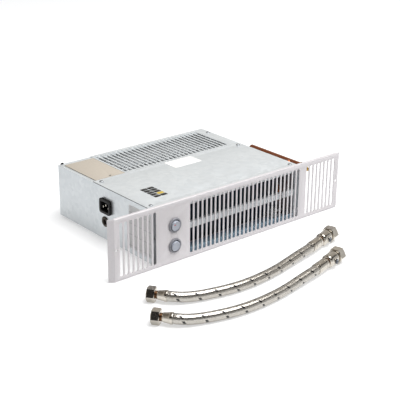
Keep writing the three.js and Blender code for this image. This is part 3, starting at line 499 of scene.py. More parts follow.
# Red print inlaid in the rocker.
RED_PRINT = speckled("red_print", "grey_lens", "#a8303a", "#b93c46", 1, (0.3, 0.4), 0.01)


# ------------------------------------------------------------------------------ hose routes
HOSE_RADIUS = 8
TUBE_HEIGHT, PLAIN_HEIGHT, VALVE_HEIGHT = 8.2, 10.75, 12
PLAIN_END = 31.2
HOSE_CLIMB, HOSE_STRAIGHT, HOSE_GAP = 3, 6, 0.3
# The angle of each end from +X, and the (x, row) points between them.
HOSES = {
    "hose_1": ((-53, 16), [
        (-219, -100.2), (-212.5, -107.2), (-203.5, -113.7), (-191, -119.6), (-176, -125),
        (-159, -129.8), (-140, -134), (-119, -137.2), (-97, -138.2), (-75, -137.3),
        (-53, -135.1), (-31, -131.6), (-9, -127.1), (15, -122.3), (39, -117.7), (62.3, -112.7),
    ]),
    "hose_2": ((-53, 14.5), [
        (-255.2, -158.3), (-248.5, -165.2), (-239.5, -171.3), (-227, -176.8), (-212, -182.2),
        (-195.5, -187.2), (-177, -191.5), (-157, -194.4), (-136, -195.5), (-115, -195),
        (-94, -193.2), (-73, -190.3), (-52, -186.7), (-31, -183), (-10, -179.5), (9.4, -175.8),
    ]),
}


def hose_route(name):
    """The hose's points, level with its fittings at both ends and on the floor between, and the
    unit vectors along which it starts and ends."""
    headings, points = HOSES[name]
    start, end = (np.array([math.cos(a), math.sin(a)]) for a in np.radians(headings))
    points = np.array(points)
    count = len(points)
    from_end = np.minimum(np.arange(count), count - 1 - np.arange(count))
    rise = np.clip((HOSE_CLIMB - from_end + 1) / (HOSE_CLIMB + 1), 0, 1)
    rise = rise ** 2 * (3 - 2 * rise)
    fitting = np.where(np.arange(count) < count / 2, PLAIN_HEIGHT, VALVE_HEIGHT)
    inner = np.column_stack([points, TUBE_HEIGHT + (fitting - TUBE_HEIGHT) * rise])[1:-1]
    first = [[*(points[0] + start * d), PLAIN_HEIGHT] for d in (HOSE_GAP, HOSE_STRAIGHT)]
    last = [[*(points[-1] - end * d), VALVE_HEIGHT] for d in (HOSE_STRAIGHT, HOSE_GAP)]
    return np.array(first + inner.tolist() + last), np.append(start, 0), np.append(end, 0)


def distances(points):
    """Distances between neighbouring points."""
    return np.linalg.norm(np.diff(points, axis=0), axis=1)


def smooth_path(points, spacing):
    """A centripetal Catmull-Rom curve through points, in steps of about one spacing."""
    padded = np.concatenate([[2 * points[0] - points[1]], points, [2 * points[-1] - points[-2]]])
    knots = np.concatenate([[0], np.cumsum(np.sqrt(distances(padded)))])
    dense = []
    for k in range(1, len(padded) - 2):
        t = np.linspace(knots[k], knots[k + 1], 24, endpoint=False)[:, None]
        p, q = padded[k - 1:k + 3], knots[k - 1:k + 3]
        a = [((q[i + 1] - t) * p[i] + (t - q[i]) * p[i + 1]) / (q[i + 1] - q[i]) for i in range(3)]
        b = [((q[i + 2] - t) * a[i] + (t - q[i]) * a[i + 1]) / (q[i + 2] - q[i]) for i in range(2)]
        dense.append(((q[2] - t) * b[0] + (t - q[1]) * b[1]) / (q[2] - q[1]))
    dense = np.concatenate(dense + [points[-1:]])
    length = np.concatenate([[0], np.cumsum(distances(dense))])
    even = np.linspace(0, length[-1], max(int(round(length[-1] / spacing)), 8) + 1)
    return np.column_stack([np.interp(even, length, dense[:, k]) for k in range(3)]), length[-1]


# ------------------------------------------------------------------------------ hoses
BRAID_LEAD = 31
BRAID_STRANDS = 12
BRAID_PHASE = math.radians(132)
BRAID_RELIEF = 0.14
BRAID_SIDES = 96
BRAID_STEP = 0.6
FLATS = 1000.0  # stands in a profile for the radius of a hexagon


def braid_surface(path, length):
    """A tube whose wall rises and falls as two sets of crossing strands.

    Going round by angle a and along by s, strand counts are N (a / turn -+ s / lead). A strand's
    crown is a half sine across it. In this twill each winding lies on top over every other
    twelfth of the girth, so the wave that lifts one and lowers the other is a cosine of six a.
    """
    along = np.linspace(0, length, len(path))[:, None]
    angle = np.arange(BRAID_SIDES + 1)[None] / BRAID_SIDES
    first = BRAID_STRANDS * (angle + along / BRAID_LEAD)
    second = BRAID_STRANDS * (angle - along / BRAID_LEAD)
    wave = -np.cos(6 * (angle * TURN - BRAID_PHASE)) * np.ones_like(first)
    lift_first = np.abs(np.sin(math.pi * first)) + wave
    lift_second = np.abs(np.sin(math.pi * second)) - wave
    height = np.clip(np.maximum(lift_first, lift_second) - 1, -1, 1)
    radius = HOSE_RADIUS - BRAID_RELIEF + BRAID_RELIEF * height[:, :-1]
    on_top = (lift_first > lift_second).astype(float)
    tracer = ((wave < 0.25) & (second % BRAID_STRANDS < 1.5)).astype(float)
    uv = {"strand": np.stack([first, second], 2), "mark": np.stack([on_top, tracer], 2)}
    return swept(path, radius, BRAID_SIDES, uv=uv)


def hexagon(inradius, start, end, lean, chamfer, slope):
    """Shape of turned() for a hexagon: where the radius is FLATS, the smaller of inradius /
    cos(angle from a flat's middle) and a cone that leans in at both ends."""
    def shape(along, radius, angle):
        flats = inradius / np.cos((angle + lean) % (TURN / 6) - TURN / 12)
        cone = inradius + chamfer + slope * np.minimum(along - start, end - along)
        return along, np.where(radius == FLATS, np.minimum(flats, cone), radius)
    return shape


def nut_solid(where, start, length, throat, inradius, bore):
    """A hexagon nut with a ridged bore and, behind it, a narrower throat."""
    end = start + length
    flange = end - 3
    ridges = [(s, bore - (0.45 if k % 2 else 0))
              for k, s in enumerate(np.arange(flange - 0.2, start + 0.8, -0.7))]
    outside = [(s, FLATS) for s in np.linspace(start, end, 15)]
    profile = ([(end, throat + 0.5), (end - 0.5, throat), (flange, throat), (flange, bore)]
               + ridges + [(start + 0.3, bore), (start, bore + 0.3)] + outside)
    return turned(profile, where, 96, hexagon(inradius - 0.02, start, end, 0, -0.2, 1.9), loop=True)


def make_valve(name, number, where):
    """Turned body with a threaded hollow tail and a boss, and the slotted screw in the boss."""
    origin, axis, side, up = where
    ridges = [(59.4 + 0.7 * k, 9.55 if k % 2 else 9.15) for k in range(14)]
    body = [
        (33.3, 0), (33.3, 7.3), (33.6, 8.1), (34.4, 9.1), (35.3, 10.0), (36.3, 10.5), (37.4, 10.6),
        (42.0, 10.6), (50.0, 10.6), (54.4, 10.6), (55.6, 10.5), (56.8, 10.2), (57.8, 9.8), (58.3, 9.5),
        (58.6, 9.2), *ridges, (68.8, 9.2), (69.3, 8.8), (69.3, 7.9), (69.0, 7.7), (60.2, 7.7),
        (60.2, 0),
    ]
    boss_place = place(origin + axis * 45.8, -side, up)
    boss = [(6, 0), (6, 5.6), (10.6, 5.6), (10.9, 5.5), (11.2, 5.2), (11.2, 0)]
    build(f"{name}_valve", [turned(body, where, 64), turned(boss, boss_place, 40)], NICKEL,
          f"{name}_valve_body", 32)

    def slot(along, radius, angle):
        across = np.abs(radius * np.sin(angle))
        cut = np.clip((0.75 - across) / 0.25, 0, 1) * (along > 12.2)
        return along - 0.8 * cut, radius

    screw = [(11.5, 0), (11.5, 3.8), (11.7, 4.0), (12.6, 4.0), (12.85, 3.85)]
    screw += [(12.9, r) for r in np.linspace(3.7, 0, 16)]
    build(f"{name}_valve_slot", turned(screw, boss_place, 64, slot), PLATED, f"{name}_valve_screw",
          body=f"valve_screw_{number}")


# Profiles along each fitting: the swivel end from its nut's face, the valve end from the end of
# the tube.
PLAIN_NECK = [
    (13.7, 0), (13.7, 3.2), (13.5, 3.4), (7.7, 3.4), (7.7, 8.0), (7.9, 8.2), (9.5, 8.2), (9.7, 8.0),
    (9.7, 5.3), (13.3, 5.3), (13.3, 5.8), (13.5, 6.0), (14.9, 6.0), (15.6, 6.4), (15.8, 6.6), (15.8, 0),
]
PLAIN_CRIMP = [
    (15.8, 0), (15.8, 6.7), (16.3, 7.0), (18.5, 7.3), (22.0, 7.75), (25.4, 8.3), (26.4, 8.5),
    (26.8, 8.85), (27.4, 8.9), (30.3, 8.9), (30.9, 8.75), (31.2, 8.3), (31.2, 0),
]
VALVE_CRIMP = [
    (0, 0), (0, 8.3), (0.3, 8.75), (0.8, 8.9), (4.6, 8.9), (5.0, 8.45), (7.6, 8.4), (8.0, 8.9),
    (19.6, 8.9), (20.0, 8.45), (22.6, 8.4), (23.0, 8.9), (27.2, 8.9), (28.2, 8.7), (28.6, 8.5), (28.6, 0),
]
VALVE_NECK = [
    (28.6, 0), (28.6, 8.4), (30.0, 7.9), (31.6, 7.1), (32.8, 7.0), (33.0, 6.8), (33.0, 0),
]


def make_hose(number):
    """Braided tube, its two crimped ferrules, nuts and valve."""
    name = f"hose_{number}"
    route, start, end = hose_route(name)
    path, length = smooth_path(route, BRAID_STEP)
    tube = build(f"{name}_braid", braid_surface(path, length), BRAID, f"{name}_tube", 60)
    plain = place(route[0] - start * (HOSE_GAP + PLAIN_END), start)
    valved = place(route[-1] + end * HOSE_GAP, end)
    build(f"{name}_nut", nut_solid(plain, 0, 13, 5.6, PLAIN_HEIGHT, 8.9), NICKEL, f"{name}_swivel_nut",
          32, f"swivel_nut_{number}")
    build(f"{name}_neck_plain", turned(PLAIN_NECK, plain, 64), STAINED)
    build(f"{name}_crimp_plain", turned(PLAIN_CRIMP, plain, 64), NICKEL, f"{name}_plain_ferrule")
    build(f"{name}_crimp_valve", turned(VALVE_CRIMP, valved, 64), NICKEL, f"{name}_valve_ferrule")
    build(f"{name}_neck_valve", turned(VALVE_NECK, valved, 64), STAINED)
    make_valve(name, number, valved)
    build(f"{name}_olive_nut", nut_solid(valved, 58.6, 15, 7.8, VALVE_HEIGHT, 9.9), NICKEL,
          f"{name}_compression_nut", 32, f"compression_nut_{number}")


make_hose(1)
make_hose(2)


# ------------------------------------------------------------------------------ sheet metal
SHEET = 1.2
CASE_LEFT, CASE_RIGHT = -165.4, 154
COVER_TOP = 97.1
JOINT = 166.0  # row where the front cover meets the intake panel
COVER_FRONT = 7.2
SLOT_PITCH, SLOT_WIDTH = 9.05, 5.65
SLOTS = np.concatenate([
    first + SLOT_PITCH * np.arange(count) for first, count in ((-228.9, 8), (-92.7, 27), (165.55, 8))])
SWITCH_X, SWITCH_HEIGHTS = -126.4, (64.2, 29.6)
GRILLE_HALF, GRILLE_BOTTOM, GRILLE_TOP = 241.7, 0.5, 103.1


def flat_plate(name, loops, material, replaces, edge=0.2, upright=False):
    """A sheet with holes and rounded edges, from its outline and the holes' outlines.

    loops are (x, row) pairs for a sheet level with the case's top, or (x, z) pairs for an upright
    one at the grille's front face.
    """
    curve = bpy.data.curves.new(name, "CURVE")
    curve.dimensions = "2D"
    curve.fill_mode = "BOTH"
    curve.extrude = (SHEET / 2 - edge) * MM
    curve.bevel_depth = edge * MM
    curve.bevel_resolution = 1
    curve.offset = -edge * MM
    for loop in loops:
        loop = (loop if upright else loop - FACE_SHIFT[:2]) * MM
        spline = curve.splines.new("POLY")
        spline.points.add(len(loop) - 1)
        spline.points.foreach_set("co", np.column_stack(
            [loop, np.zeros(len(loop)), np.ones(len(loop))]).ravel())
        spline.use_cyclic_u = True
    shape = bpy.data.objects.new(name, curve)
    bpy.context.scene.collection.objects.link(shape)
    bpy.context.view_layer.update()
    mesh = bpy.data.meshes.new_from_object(shape.evaluated_get(bpy.context.evaluated_depsgraph_get()))
    bpy.data.objects.remove(shape)
    points = np.zeros(len(mesh.vertices) * 3)
    mesh.vertices.foreach_get("co", points)
    points = points.reshape(-1, 3)
    if upright:
        points = points[:, [0, 2, 1]] + metres((0, SHEET / 2, 0))
    else:
        points += [0, 0, (COVER_TOP - SHEET / 2) * MM]
    mesh.vertices.foreach_set("co", points.ravel())
    rework(mesh, 1e-7, lambda work: bmesh.ops.recalc_face_normals(work, faces=work.faces))
    dress(name, mesh, material, replaces, 30)


def slot_loop(centre, first, last, width):
    """A slot with half-circle ends."""
    angle = np.linspace(0, math.pi, 13)
    arc = width / 2 * np.stack([np.cos(angle), np.sin(angle)], 1)
    return np.concatenate([arc + [centre, last - width / 2], -arc + [centre, first + width / 2]])


def hole_loop(u, v, radius, sides=40):
    """A round hole."""
    angle = np.arange(sides) * TURN / sides
    return radius * np.stack([np.cos(angle), np.sin(angle)], 1) + [u, v]


def rectangle(u0, u1, v0, v1):
    """Four corners."""
    return np.array([(u0, v0), (u1, v0), (u1, v1), (u0, v1)])


def softened(name, material, width=0.25):
    """A copy of a plain solid with its flat faces whole and its edges rounded."""
    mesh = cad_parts[name].data.copy()
    rework(mesh, 1e-6, lambda work: bmesh.ops.dissolve_limit(
        work, angle_limit=math.radians(0.5), verts=work.verts, edges=work.edges))
    mesh.materials.clear()
    dress(f"{name}_sheet", mesh, material, name, 35, bevel=width)


def make_grille():
    """Slotted face, rolled top and bottom lips along it, and a flared flap at each end."""
    roll, middle = 1.7, SHEET / 2
    lips = []
    for z, inward in ((GRILLE_BOTTOM, 1), (GRILLE_TOP, -1)):
        line = bent([(middle, z + inward * roll), (middle, z + inward * middle),
                     (5, z + inward * middle)], roll - middle)
        lips.append(along_x(ribbon(line, SHEET), roll - GRILLE_HALF, GRILLE_HALF - roll))
    for side in (-1, 1):
        line = bent([(GRILLE_HALF - roll, middle), (GRILLE_HALF - 0.35, middle), (249.45, 6.75)],
                    roll - middle)
        lips.append(along_z(ribbon(line, SHEET) * [side, 1], GRILLE_BOTTOM, GRILLE_TOP))
    build("grille_edges", lips, SILVER)
    reach = roll - 0.25
    loops = [rectangle(reach - GRILLE_HALF, GRILLE_HALF - reach, GRILLE_BOTTOM + reach,
                       GRILLE_TOP - reach)]
    loops += [slot_loop(x, 7.2, 95.2, SLOT_WIDTH) for x in SLOTS]
    loops += [hole_loop(SWITCH_X, z, 10.3, 64) for z in SWITCH_HEIGHTS]
    loops += [hole_loop(x, 51.8, 2.0) for x in (-237.8, 237.8)]
    flat_plate("grille_face", loops, SILVER, "fascia_grille", upright=True)


def make_panels():
    """Slotted intake panel, front cover with its turned lip, and the control cover."""
    rear = 270.5
    slots = [slot_loop(-93.6 + 8.856 * k, JOINT + 4, rear - 7.9, 5.2) for k in range(26)]
    flat_plate("intake_grid", [
        rectangle(-100.2, CASE_RIGHT, JOINT, rear), *[s for s in slots if s[:, 0].max() < 131],
        hole_loop(148.0, 245.0, 2.1)], ZINC, "intake_panel")
    roll = 1.8
    flat_plate("cover_top", [
        rectangle(CASE_LEFT, CASE_RIGHT, COVER_FRONT + roll - 0.25, 165.6),
        *[hole_loop(x, row, 2.1) for x in (-155.4, 144.0) for row in (23.0, 156.0)]],
        ZINC, "front_cover")
    middle = SHEET / 2
    line = bent([(COVER_FRONT + roll, COVER_TOP - middle), (COVER_FRONT + middle, COVER_TOP - middle),
                 (COVER_FRONT + middle, 87.9)], roll - middle)
    build("cover_lip", along_x(ribbon(line, SHEET), -96.8, 138.3), ZINC)
    # Painted shadow: a dark strip on the cover's left cut edge, partly bare sheared steel, partly the
    # shadow line where the cover meets the side panel.
    build("cover_edge_sheared_and_shade", block((-165.46, 9.5, 95.95), (-165.38, 165.4, 97.02)), SHEARED_AND_SHADE)
    flat_plate("control_lid", [rectangle(-159.2, -100.6, JOINT, 260), hole_loop(-127.3, 171.7, 2.1)],
               BEIGE, "control_cover", 0.35)


def make_liner():
    """Film over the tray's front sill and its floor as far back as the coil: one bent sheet."""
    line = bent([(7.1, 4.7), (7.1, 12.55), (8.55, 12.55), (8.55, 5.75), (35.5, 5.75)], 0.4, 4)
    build("tray_film", along_x(ribbon(line, 0.12), -97.5, 140.2), FILM)


make_grille()
make_panels()
make_liner()
for sheet_node in ("base_tray", "cross_rail", "front_rail", "partition"):
    softened(sheet_node, ZINC)
for sheet_node in ("left_side_panel", "right_side_panel"):
    softened(sheet_node, ZINC, 0.5)
softened("fan_scroll", POWDER)


# ------------------------------------------------------------------------------ small fixings
def make_screw(node_name):
    """Pan head with a cross recess: the crown falls by the depth times how far inside either arm."""
    (x0, row0, bottom), (x1, row1, top) = node_box(node_name)
    where = place(((x0 + x1) / 2, (row0 + row1) / 2, 0), UP, BACK)
    radius = 3.6
    crown = [(COVER_TOP + (top - COVER_TOP) * (1 - r ** 4 * 0.75) if r < 1 else COVER_TOP + 0.25,
              radius * r) for r in np.linspace(1, 0, 26)]
    profile = [(bottom, 0), (bottom, 1.7), (COVER_TOP, 1.7), (COVER_TOP, radius)] + crown

    def recess(along, radii, angle):
        u, v = np.abs(radii * np.cos(angle)), np.abs(radii * np.sin(angle))
        arm = np.minimum(np.minimum(u, v) / 0.42, 1)
        inside = (1 - arm ** 3) * np.clip((2.1 - np.maximum(u, v)) / 0.5, 0, 1)
        return along - (along > COVER_TOP + 0.3) * inside, radii

    build(f"{node_name}_head", turned(profile, where, 64, recess), SCREW, node_name, 40)


def make_foot(node_name):
    """Moulded rubber foot: a soft-edged disc with a ring groove and a hollow under it."""
    x, row, _ = node_box(node_name).mean(axis=0)
    profile = [
        (2.0, 0), (2.0, 3.2), (0.3, 3.6), (0, 4.0), (0, 7.6), (0.25, 8.3), (0.9, 8.7), (2.2, 8.9),
        (2.6, 8.5), (3.0, 8.9), (4.0, 8.9), (4.4, 8.6), (4.4, 0),
    ]
    build(f"{node_name}_pad", turned(profile, place((x, row, 0), UP, BACK), 56), RUBBER, node_name, 40)


for screw_node in ("screw_left_front", "screw_left_middle", "screw_right_front",
                   "screw_right_middle", "screw_right_rear"):
    make_screw(screw_node)
for corner in ("front_left", "front_right", "rear_left", "rear_right"):
    make_foot(f"foot_{corner}")


# ------------------------------------------------------------------------------ switches
ROCKER_TILT = math.radians(8)
MARK_SIDE = 2.2


def make_switch(name, z):
    """Turned bezel and barrel, and a rocker whose face is hollowed across its pivot."""
    where = place((SWITCH_X, 0, z), BACK)
    bezel = [
        (0, 9.9), (-0.05, 12.0), (-0.5, 12.2), (-1.3, 12.1), (-2.0, 11.6), (-2.4, 10.9), (-2.4, 10.2),
        (-2.2, 9.6), (-1.6, 9.4), (0.6, 9.4), (0.6, 9.9),
    ]
    build(f"switch_{name}_bezel", turned(bezel, where, 72, loop=True), GREY)
    barrel = [
        (18, 0), (18, 9.6), (17.6, 10), (3.0, 10), (2.2, 10.0), (0.7, 10.0), (0.7, 9.4), (8, 9.4),
        (8, 0),
    ]
    tabs = [block((x - 0.4, 17.9, z - 2.4), (x + 0.4, 17.99, z + 2.4))
            for x in (SWITCH_X - 5, SWITCH_X + 5)]
    build(f"switch_{name}_barrel", [turned(barrel, where, 56)] + tabs, BLACK, f"switch_{name}_body", 35)
    c, s = math.cos(ROCKER_TILT), math.sin(ROCKER_TILT)
    lean = place((SWITCH_X, 1.5, z), (0, c, s), (0, -s, c))
    profile = [(3.4, 0), (3.4, 6.4), (3.2, 6.6), (0, 8.7), (-0.3, 8.8), (-4.8, 8.2)]
    profile += [(-4.8 - 0.9 * math.sin(a), 7.3 + 0.9 * math.cos(a))
                for a in np.linspace(0, math.pi / 2, 6)[1:]]
    profile += [(-5.7, r) for r in np.linspace(7.1, 0, 16)]

    def hollow(along, radius, angle):
        level = np.clip(radius / 7.6, 0, 1)
        across = radius * np.sin(angle) / 8.2
        dip = 0.75 * (1 - across ** 2) * np.clip((1 - level) * 6, 0, 1)
        return along + np.where(along < -5.65, dip, 0), radius

    build(f"switch_{name}_button", turned(profile, lean, 72, hollow), LENS, f"switch_{name}_rocker",
          body=f"{name}_rocker")
    if name == "upper":
        origin, axis, side, up = lean
        spot = place(origin - axis * 5 + side * MARK_SIDE + up * 2.4, axis, up)
        build("switch_upper_mark", lofted([(0, 3.8, 1.6, 0.7), (-0.14, 3.6, 1.4, 0.6)], spot), RED_PRINT,
              None, 40, "upper_rocker")


for switch_name, switch_z in zip(("upper", "lower"), SWITCH_HEIGHTS):
    make_switch(switch_name, switch_z)


# ------------------------------------------------------------------------------ mains inlet, cable entry
INLET_ROW, INLET_Z = 128.4, 64.8


def make_inlet():
    """Moulded socket: rounded flange, deep well with a lead-in, body inside the case, three pins."""
    rows = [
        (21, 24.2, 18.6, 1.6), (20.6, 25, 19.4, 2.0), (5.0, 25, 19.4, 2.0), (5.0, 29.0, 24.8, 4.2),
        (4.6, 29.2, 25, 4.3), (0.8, 29.2, 25, 4.3), (0.25, 28.8, 24.6, 4.2), (0, 28.0, 23.8, 4.0),
        (0, 23.4, 17.2, 3.8), (0.3, 22.6, 16.4, 3.6), (1.0, 22.0, 15.8, 3.4), (2.0, 21.6, 15.4, 3.2),
        (16, 21.6, 15.4, 3.2),
    ]
    build("inlet_socket", lofted(rows, place((-170.4, INLET_ROW, INLET_Z), RIGHT), 8), BLACK,
          "mains_inlet")
    rows = [
        (0, 2, 4, 0.3), (11.6, 2, 4, 0.3), (12.4, 1.7, 3.7, 0.3), (12.9, 1.1, 3.0, 0.3),
        (13, 0.7, 2.6, 0.3),
    ]
    for pin, across, rise in (("left", -7, -2), ("earth", 0, 2), ("right", 7, -2)):
        end = place((CASE_LEFT + 11, INLET_ROW + across, INLET_Z + rise), (-1, 0, 0))
        build(f"inlet_blade_{pin}", lofted(rows, end, 3), NICKEL, f"inlet_pin_{pin}", 35)


def make_cable_entry():
    """Rubber grommet: two soft flanges either side of the panel and a bead round the bore."""
    profile = [
        (-2, 5.4), (-1.9, 6.8), (-1.6, 8.0), (-1.0, 8.8), (-0.5, 9.0), (-0.25, 8.8), (-0.2, 7.7),
        (1.4, 7.7), (1.5, 8.8), (2.0, 9.0), (2.6, 8.7), (3.1, 7.6), (3.2, 6.0), (3.1, 4.9), (2.6, 4.55),
        (0.6, 4.5), (-1.3, 4.55), (-1.8, 4.8),
    ]
    where = place((CASE_LEFT, 133, 36.5), RIGHT)
    build("cable_grommet_ring", turned(profile, where, 56, loop=True), GROMMET, "cable_grommet", 50)


make_inlet()
make_cable_entry()
softened("terminal_block", WHITE, 0.5)


# ------------------------------------------------------------------------------ fan and motor
FAN_ROW, FAN_Z = 219, 56
FAN_LEFT, FAN_RIGHT = -92.1, 142.9
FAN_BLADES = 24


def make_fan():
    """Drum of curved blades, drawn from one disc to the next. A blade runs out from 23 to 29.7 mm
    and turns by 17 degrees times a quarter sine of how far out it is."""
    where = place((0, FAN_ROW, FAN_Z), RIGHT)
    centre = (FAN_LEFT + FAN_RIGHT) / 2
    t = np.linspace(0, 1, 7)
    radius = 23.0 + 6.7 * t
    lean = np.radians(17) * np.sin(t * math.pi / 2)
    outline = ribbon(np.column_stack([radius * np.cos(lean), radius * np.sin(lean)]), 0.8)
    drum = []
    for start, stop in ((FAN_LEFT + 1, centre - 0.5), (centre + 0.5, FAN_RIGHT - 1)):
        for a in np.arange(FAN_BLADES) * TURN / FAN_BLADES:
            c, s = math.cos(a), math.sin(a)
            drum.append(along_x(outline @ np.array([[c, s], [-s, c]]), start, stop, FAN_ROW, FAN_Z))
    for x in (FAN_LEFT, centre - 1, FAN_RIGHT - 2):
        disc = np.array([(0, 0), (0, 29.6), (0.3, 30), (1.7, 30), (2, 29.6), (2, 22), (1.2, 21), (1.2, 9),
                         (2, 8), (2, 0)])
        drum.append(turned(disc + [x, 0], where, 64))
    ends = node_box("fan_rotor")[:, 0]
    for a, b in ((ends[0], FAN_LEFT + 1), (FAN_RIGHT - 1, ends[1])):
        shaft = [(a, 0), (a, 2.6), (a + 0.4, 3), (b - 0.4, 3), (b, 2.6), (b, 0)]
        drum.append(turned(shaft, where, 32))
    build("fan_drum", drum, BRIGHT, "fan_rotor", 35, "fan")


def make_bearing():
    """Rubber-seated bearing with a raised lip round the shaft."""
    first, last = node_box("fan_bearing")[:, 0]
    width = last - first
    profile = [
        (0, 4.6), (0, 8.4), (0.6, 9.0), (2.2, 9.0), (2.6, 8.6), (width - 2.6, 8.6), (width - 2.2, 9),
        (width - 0.6, 9.0), (width, 8.4), (width, 4.6), (width - 0.6, 3.4), (width - 1.4, 3.3),
        (1.4, 3.3), (0.6, 3.4),
    ]
    where = place((first, FAN_ROW, FAN_Z), RIGHT)
    build("fan_bearing_seat", turned(profile, where, 48, loop=True), RUBBER, "fan_bearing", 40)


make_fan()
make_bearing()
softened("fan_motor", ALUMINIUM, 0.8)


# ------------------------------------------------------------------------------ heat exchanger
COIL_X, COIL_Y, COIL_Z = (-74.0, 127.5), (36.0, 91.0), (5.9, 93.0)
COIL_ROWS, COIL_LEVELS = (49.75, 77.25), (86.0, 54.25, 22.5)
COIL_TUBE = 6.35
COIL_FINS = 82
PIPE_X = 172.0


def make_coil():
    """Rippled foil fins, 0.4 mm drawn for 0.15 so that they show, between two end plates, with
    copper tubes pushed through. A fin's ripple is a sine along its depth."""
    along = np.linspace(COIL_Y[0] + 0.6, COIL_Y[1] - 0.6, 19)
    ripple = 0.35 * np.sin((along - COIL_Y[0]) / 55 * TURN * 3)
    fins = [along_z(ribbon(np.column_stack([x + ripple, along]), 0.4), COIL_Z[0] + 0.8, COIL_Z[1] - 0.8)
            for x in np.linspace(COIL_X[0] + 3, COIL_X[1] - 3, COIL_FINS)]
    # Painted shade: the fins' dark foil colour stands in for the shade behind the grille's slots.
    build("coil_fin_pack", fins, FOIL_AND_SHADE, "coil_fins", 50)
    rows = [(0, 54.6, 86.7, 1.5), (0.2, 55, 87.1, 1.7), (1.4, 55, 87.1, 1.7), (1.6, 54.6, 86.7, 1.5)]
    build("coil_end_plates", [lofted(rows, place((x, 63.5, sum(COIL_Z) / 2), RIGHT))
                              for x in (COIL_X[0], COIL_X[1] - 1.6)], ZINC, None, 40)
    a, b = COIL_X[0] - 0.25, COIL_X[1] + 0.25
    tube = [(a, 0), (a, 7.6), (a + 0.3, 7.9), (a + 1.2, 6.6), (a + 2.4, COIL_TUBE),
            (b - 2.4, COIL_TUBE), (b - 1.2, 6.6), (b - 0.3, 7.9), (b, 7.6), (b, 0)]
    build("coil_tubes", [turned(tube, place((0, row, z), RIGHT), 28)
                         for row in COIL_ROWS for z in COIL_LEVELS], COPPER, None, 40)


def bend_radii(count, radius, flare):
    """A tube's radius, wider over its first and last few rings like a brazed socket."""
    from_end = np.minimum(np.arange(count), count - 1 - np.arange(count))
    return radius + flare * np.clip(1 - from_end / 3, 0, 1) ** 0.5


def make_bends():
    """Half-circle bends at the coil's ends, drawn round the middle between two tubes."""
    left, right = -74.3, 127.8
    front, rear = COIL_ROWS
    upper, mid, lower = COIL_LEVELS
    bends = {f"coil_bend_left_{k + 1}": (left, (front, z), (rear, z), -1)
             for k, z in enumerate(COIL_LEVELS)}
    bends["coil_bend_right_1"] = (right, (rear, upper), (rear, mid), 1)
    bends["coil_bend_right_2"] = (right, (front, mid), (front, lower), 1)
    angle = np.linspace(0, math.pi, 29)[:, None]
    for name, (x, start, stop, sign) in bends.items():
        centre, arm = np.add(start, stop) / 2, np.subtract(start, stop) / 2
        out = x + sign * (2 + np.linalg.norm(arm) * np.sin(angle))
        path = np.concatenate([
            [(x, *start), (x + sign, *start)], np.column_stack([out, centre + arm * np.cos(angle)]),
            [(x + sign, *stop), (x, *stop)]])
        seen_from = UP if start[1] == stop[1] else BACK
        radii = bend_radii(len(path), COIL_TUBE - 0.5, 0.5)[:, None]
        build(f"{name}_tube", swept(path, radii, 24, seen_from), COPPER, name, 50)


def make_pipes():
    """Fifteen-millimetre copper: a straight flow pipe with its branch, and a return elbow."""
    x, z = PIPE_X, COIL_LEVELS[0]
    main = [
        (24, 0), (24, 7.2), (24.3, 7.5), (36, 7.5), (60, 7.5), (149.6, 7.5), (150, 7.2), (150, 6.7),
        (149.7, 6.5), (124, 6.5), (124, 0),
    ]
    branch = [
        (127.8, 0), (127.8, 7.3), (130.2, 7.4), (131, 7.1), (158, 7.1), (164, 7.1), (165.2, 7.5),
        (168, 7.5), (172, 7.3), (172, 0),
    ]
    build("flow_tube", [turned(main, place((x, 0, z), BACK), 48),
                        turned(branch, place((0, COIL_ROWS[0], z), RIGHT), 40)], COPPER, "flow_pipe", 35)
    angle = np.linspace(0, math.pi / 2, 17)
    row, z = COIL_ROWS[1], COIL_LEVELS[2]
    elbow = np.column_stack([x - 20 * (1 - np.sin(angle)), row + 20 * (1 - np.cos(angle)), np.full(17, z)])
    path = np.concatenate([
        [(start, row, z) for start in (127.8, 130, 131, 150)], elbow,
        [(x, end, z) for end in (124, 149.6, 150, 150, 124)]])
    radius = np.concatenate([[7.2, 7.2, 7.4], np.full(len(path) - 8, 7.5), [7.5, 7.5, 7.1, 6.6, 6.5]])
    frames = (np.concatenate([v, v[-1:], v[-1:]]) for v in frames_along(path[:-2]))
    build("return_tube", skin(path[:, None] + hoops(*frames, 40) * radius[:, None, None]), COPPER,
          "return_pipe", 35)


def make_vent():
    """Bleed valve: chamfered hexagon, ribbed barrel, and a round screw with a square key."""
    x, z = PIPE_X, COIL_LEVELS[0]
    where = place((x, 0, z), BACK)
    start, end = 17.2, 23.7
    profile = [(11.2, 0), (11.2, 5.2), (11.7, 5.8), (12.4, 6), (13.0, 5.6), (13.6, 6), (14.4, 5.6),
               (15.0, 6), (15.8, 5.6), (start, 5.6)]
    profile += [(s, FLATS) for s in np.linspace(start, end, 9)] + [(end, 0)]
    build("vent_body", turned(profile, where, 72, hexagon(8.3, start, end, TURN / 12, 0.2, 1.5)), BRASS,
          "air_vent_body")
    head = [(9.4, 0), (9.4, 4.1), (9.7, 4.5), (10.7, 4.5), (10.9, 4.2), (10.9, 0)]
    rows = [(0, 4.8, 4.8, 0.4), (3.2, 4.8, 4.8, 0.4), (3.9, 4.2, 4.2, 0.4)]
    build("vent_key", [turned(head, where, 40), lofted(rows, place((x, 9.8, z), (0, -1, 0)))], BRASS,
          "air_vent_screw", body="vent_screw")


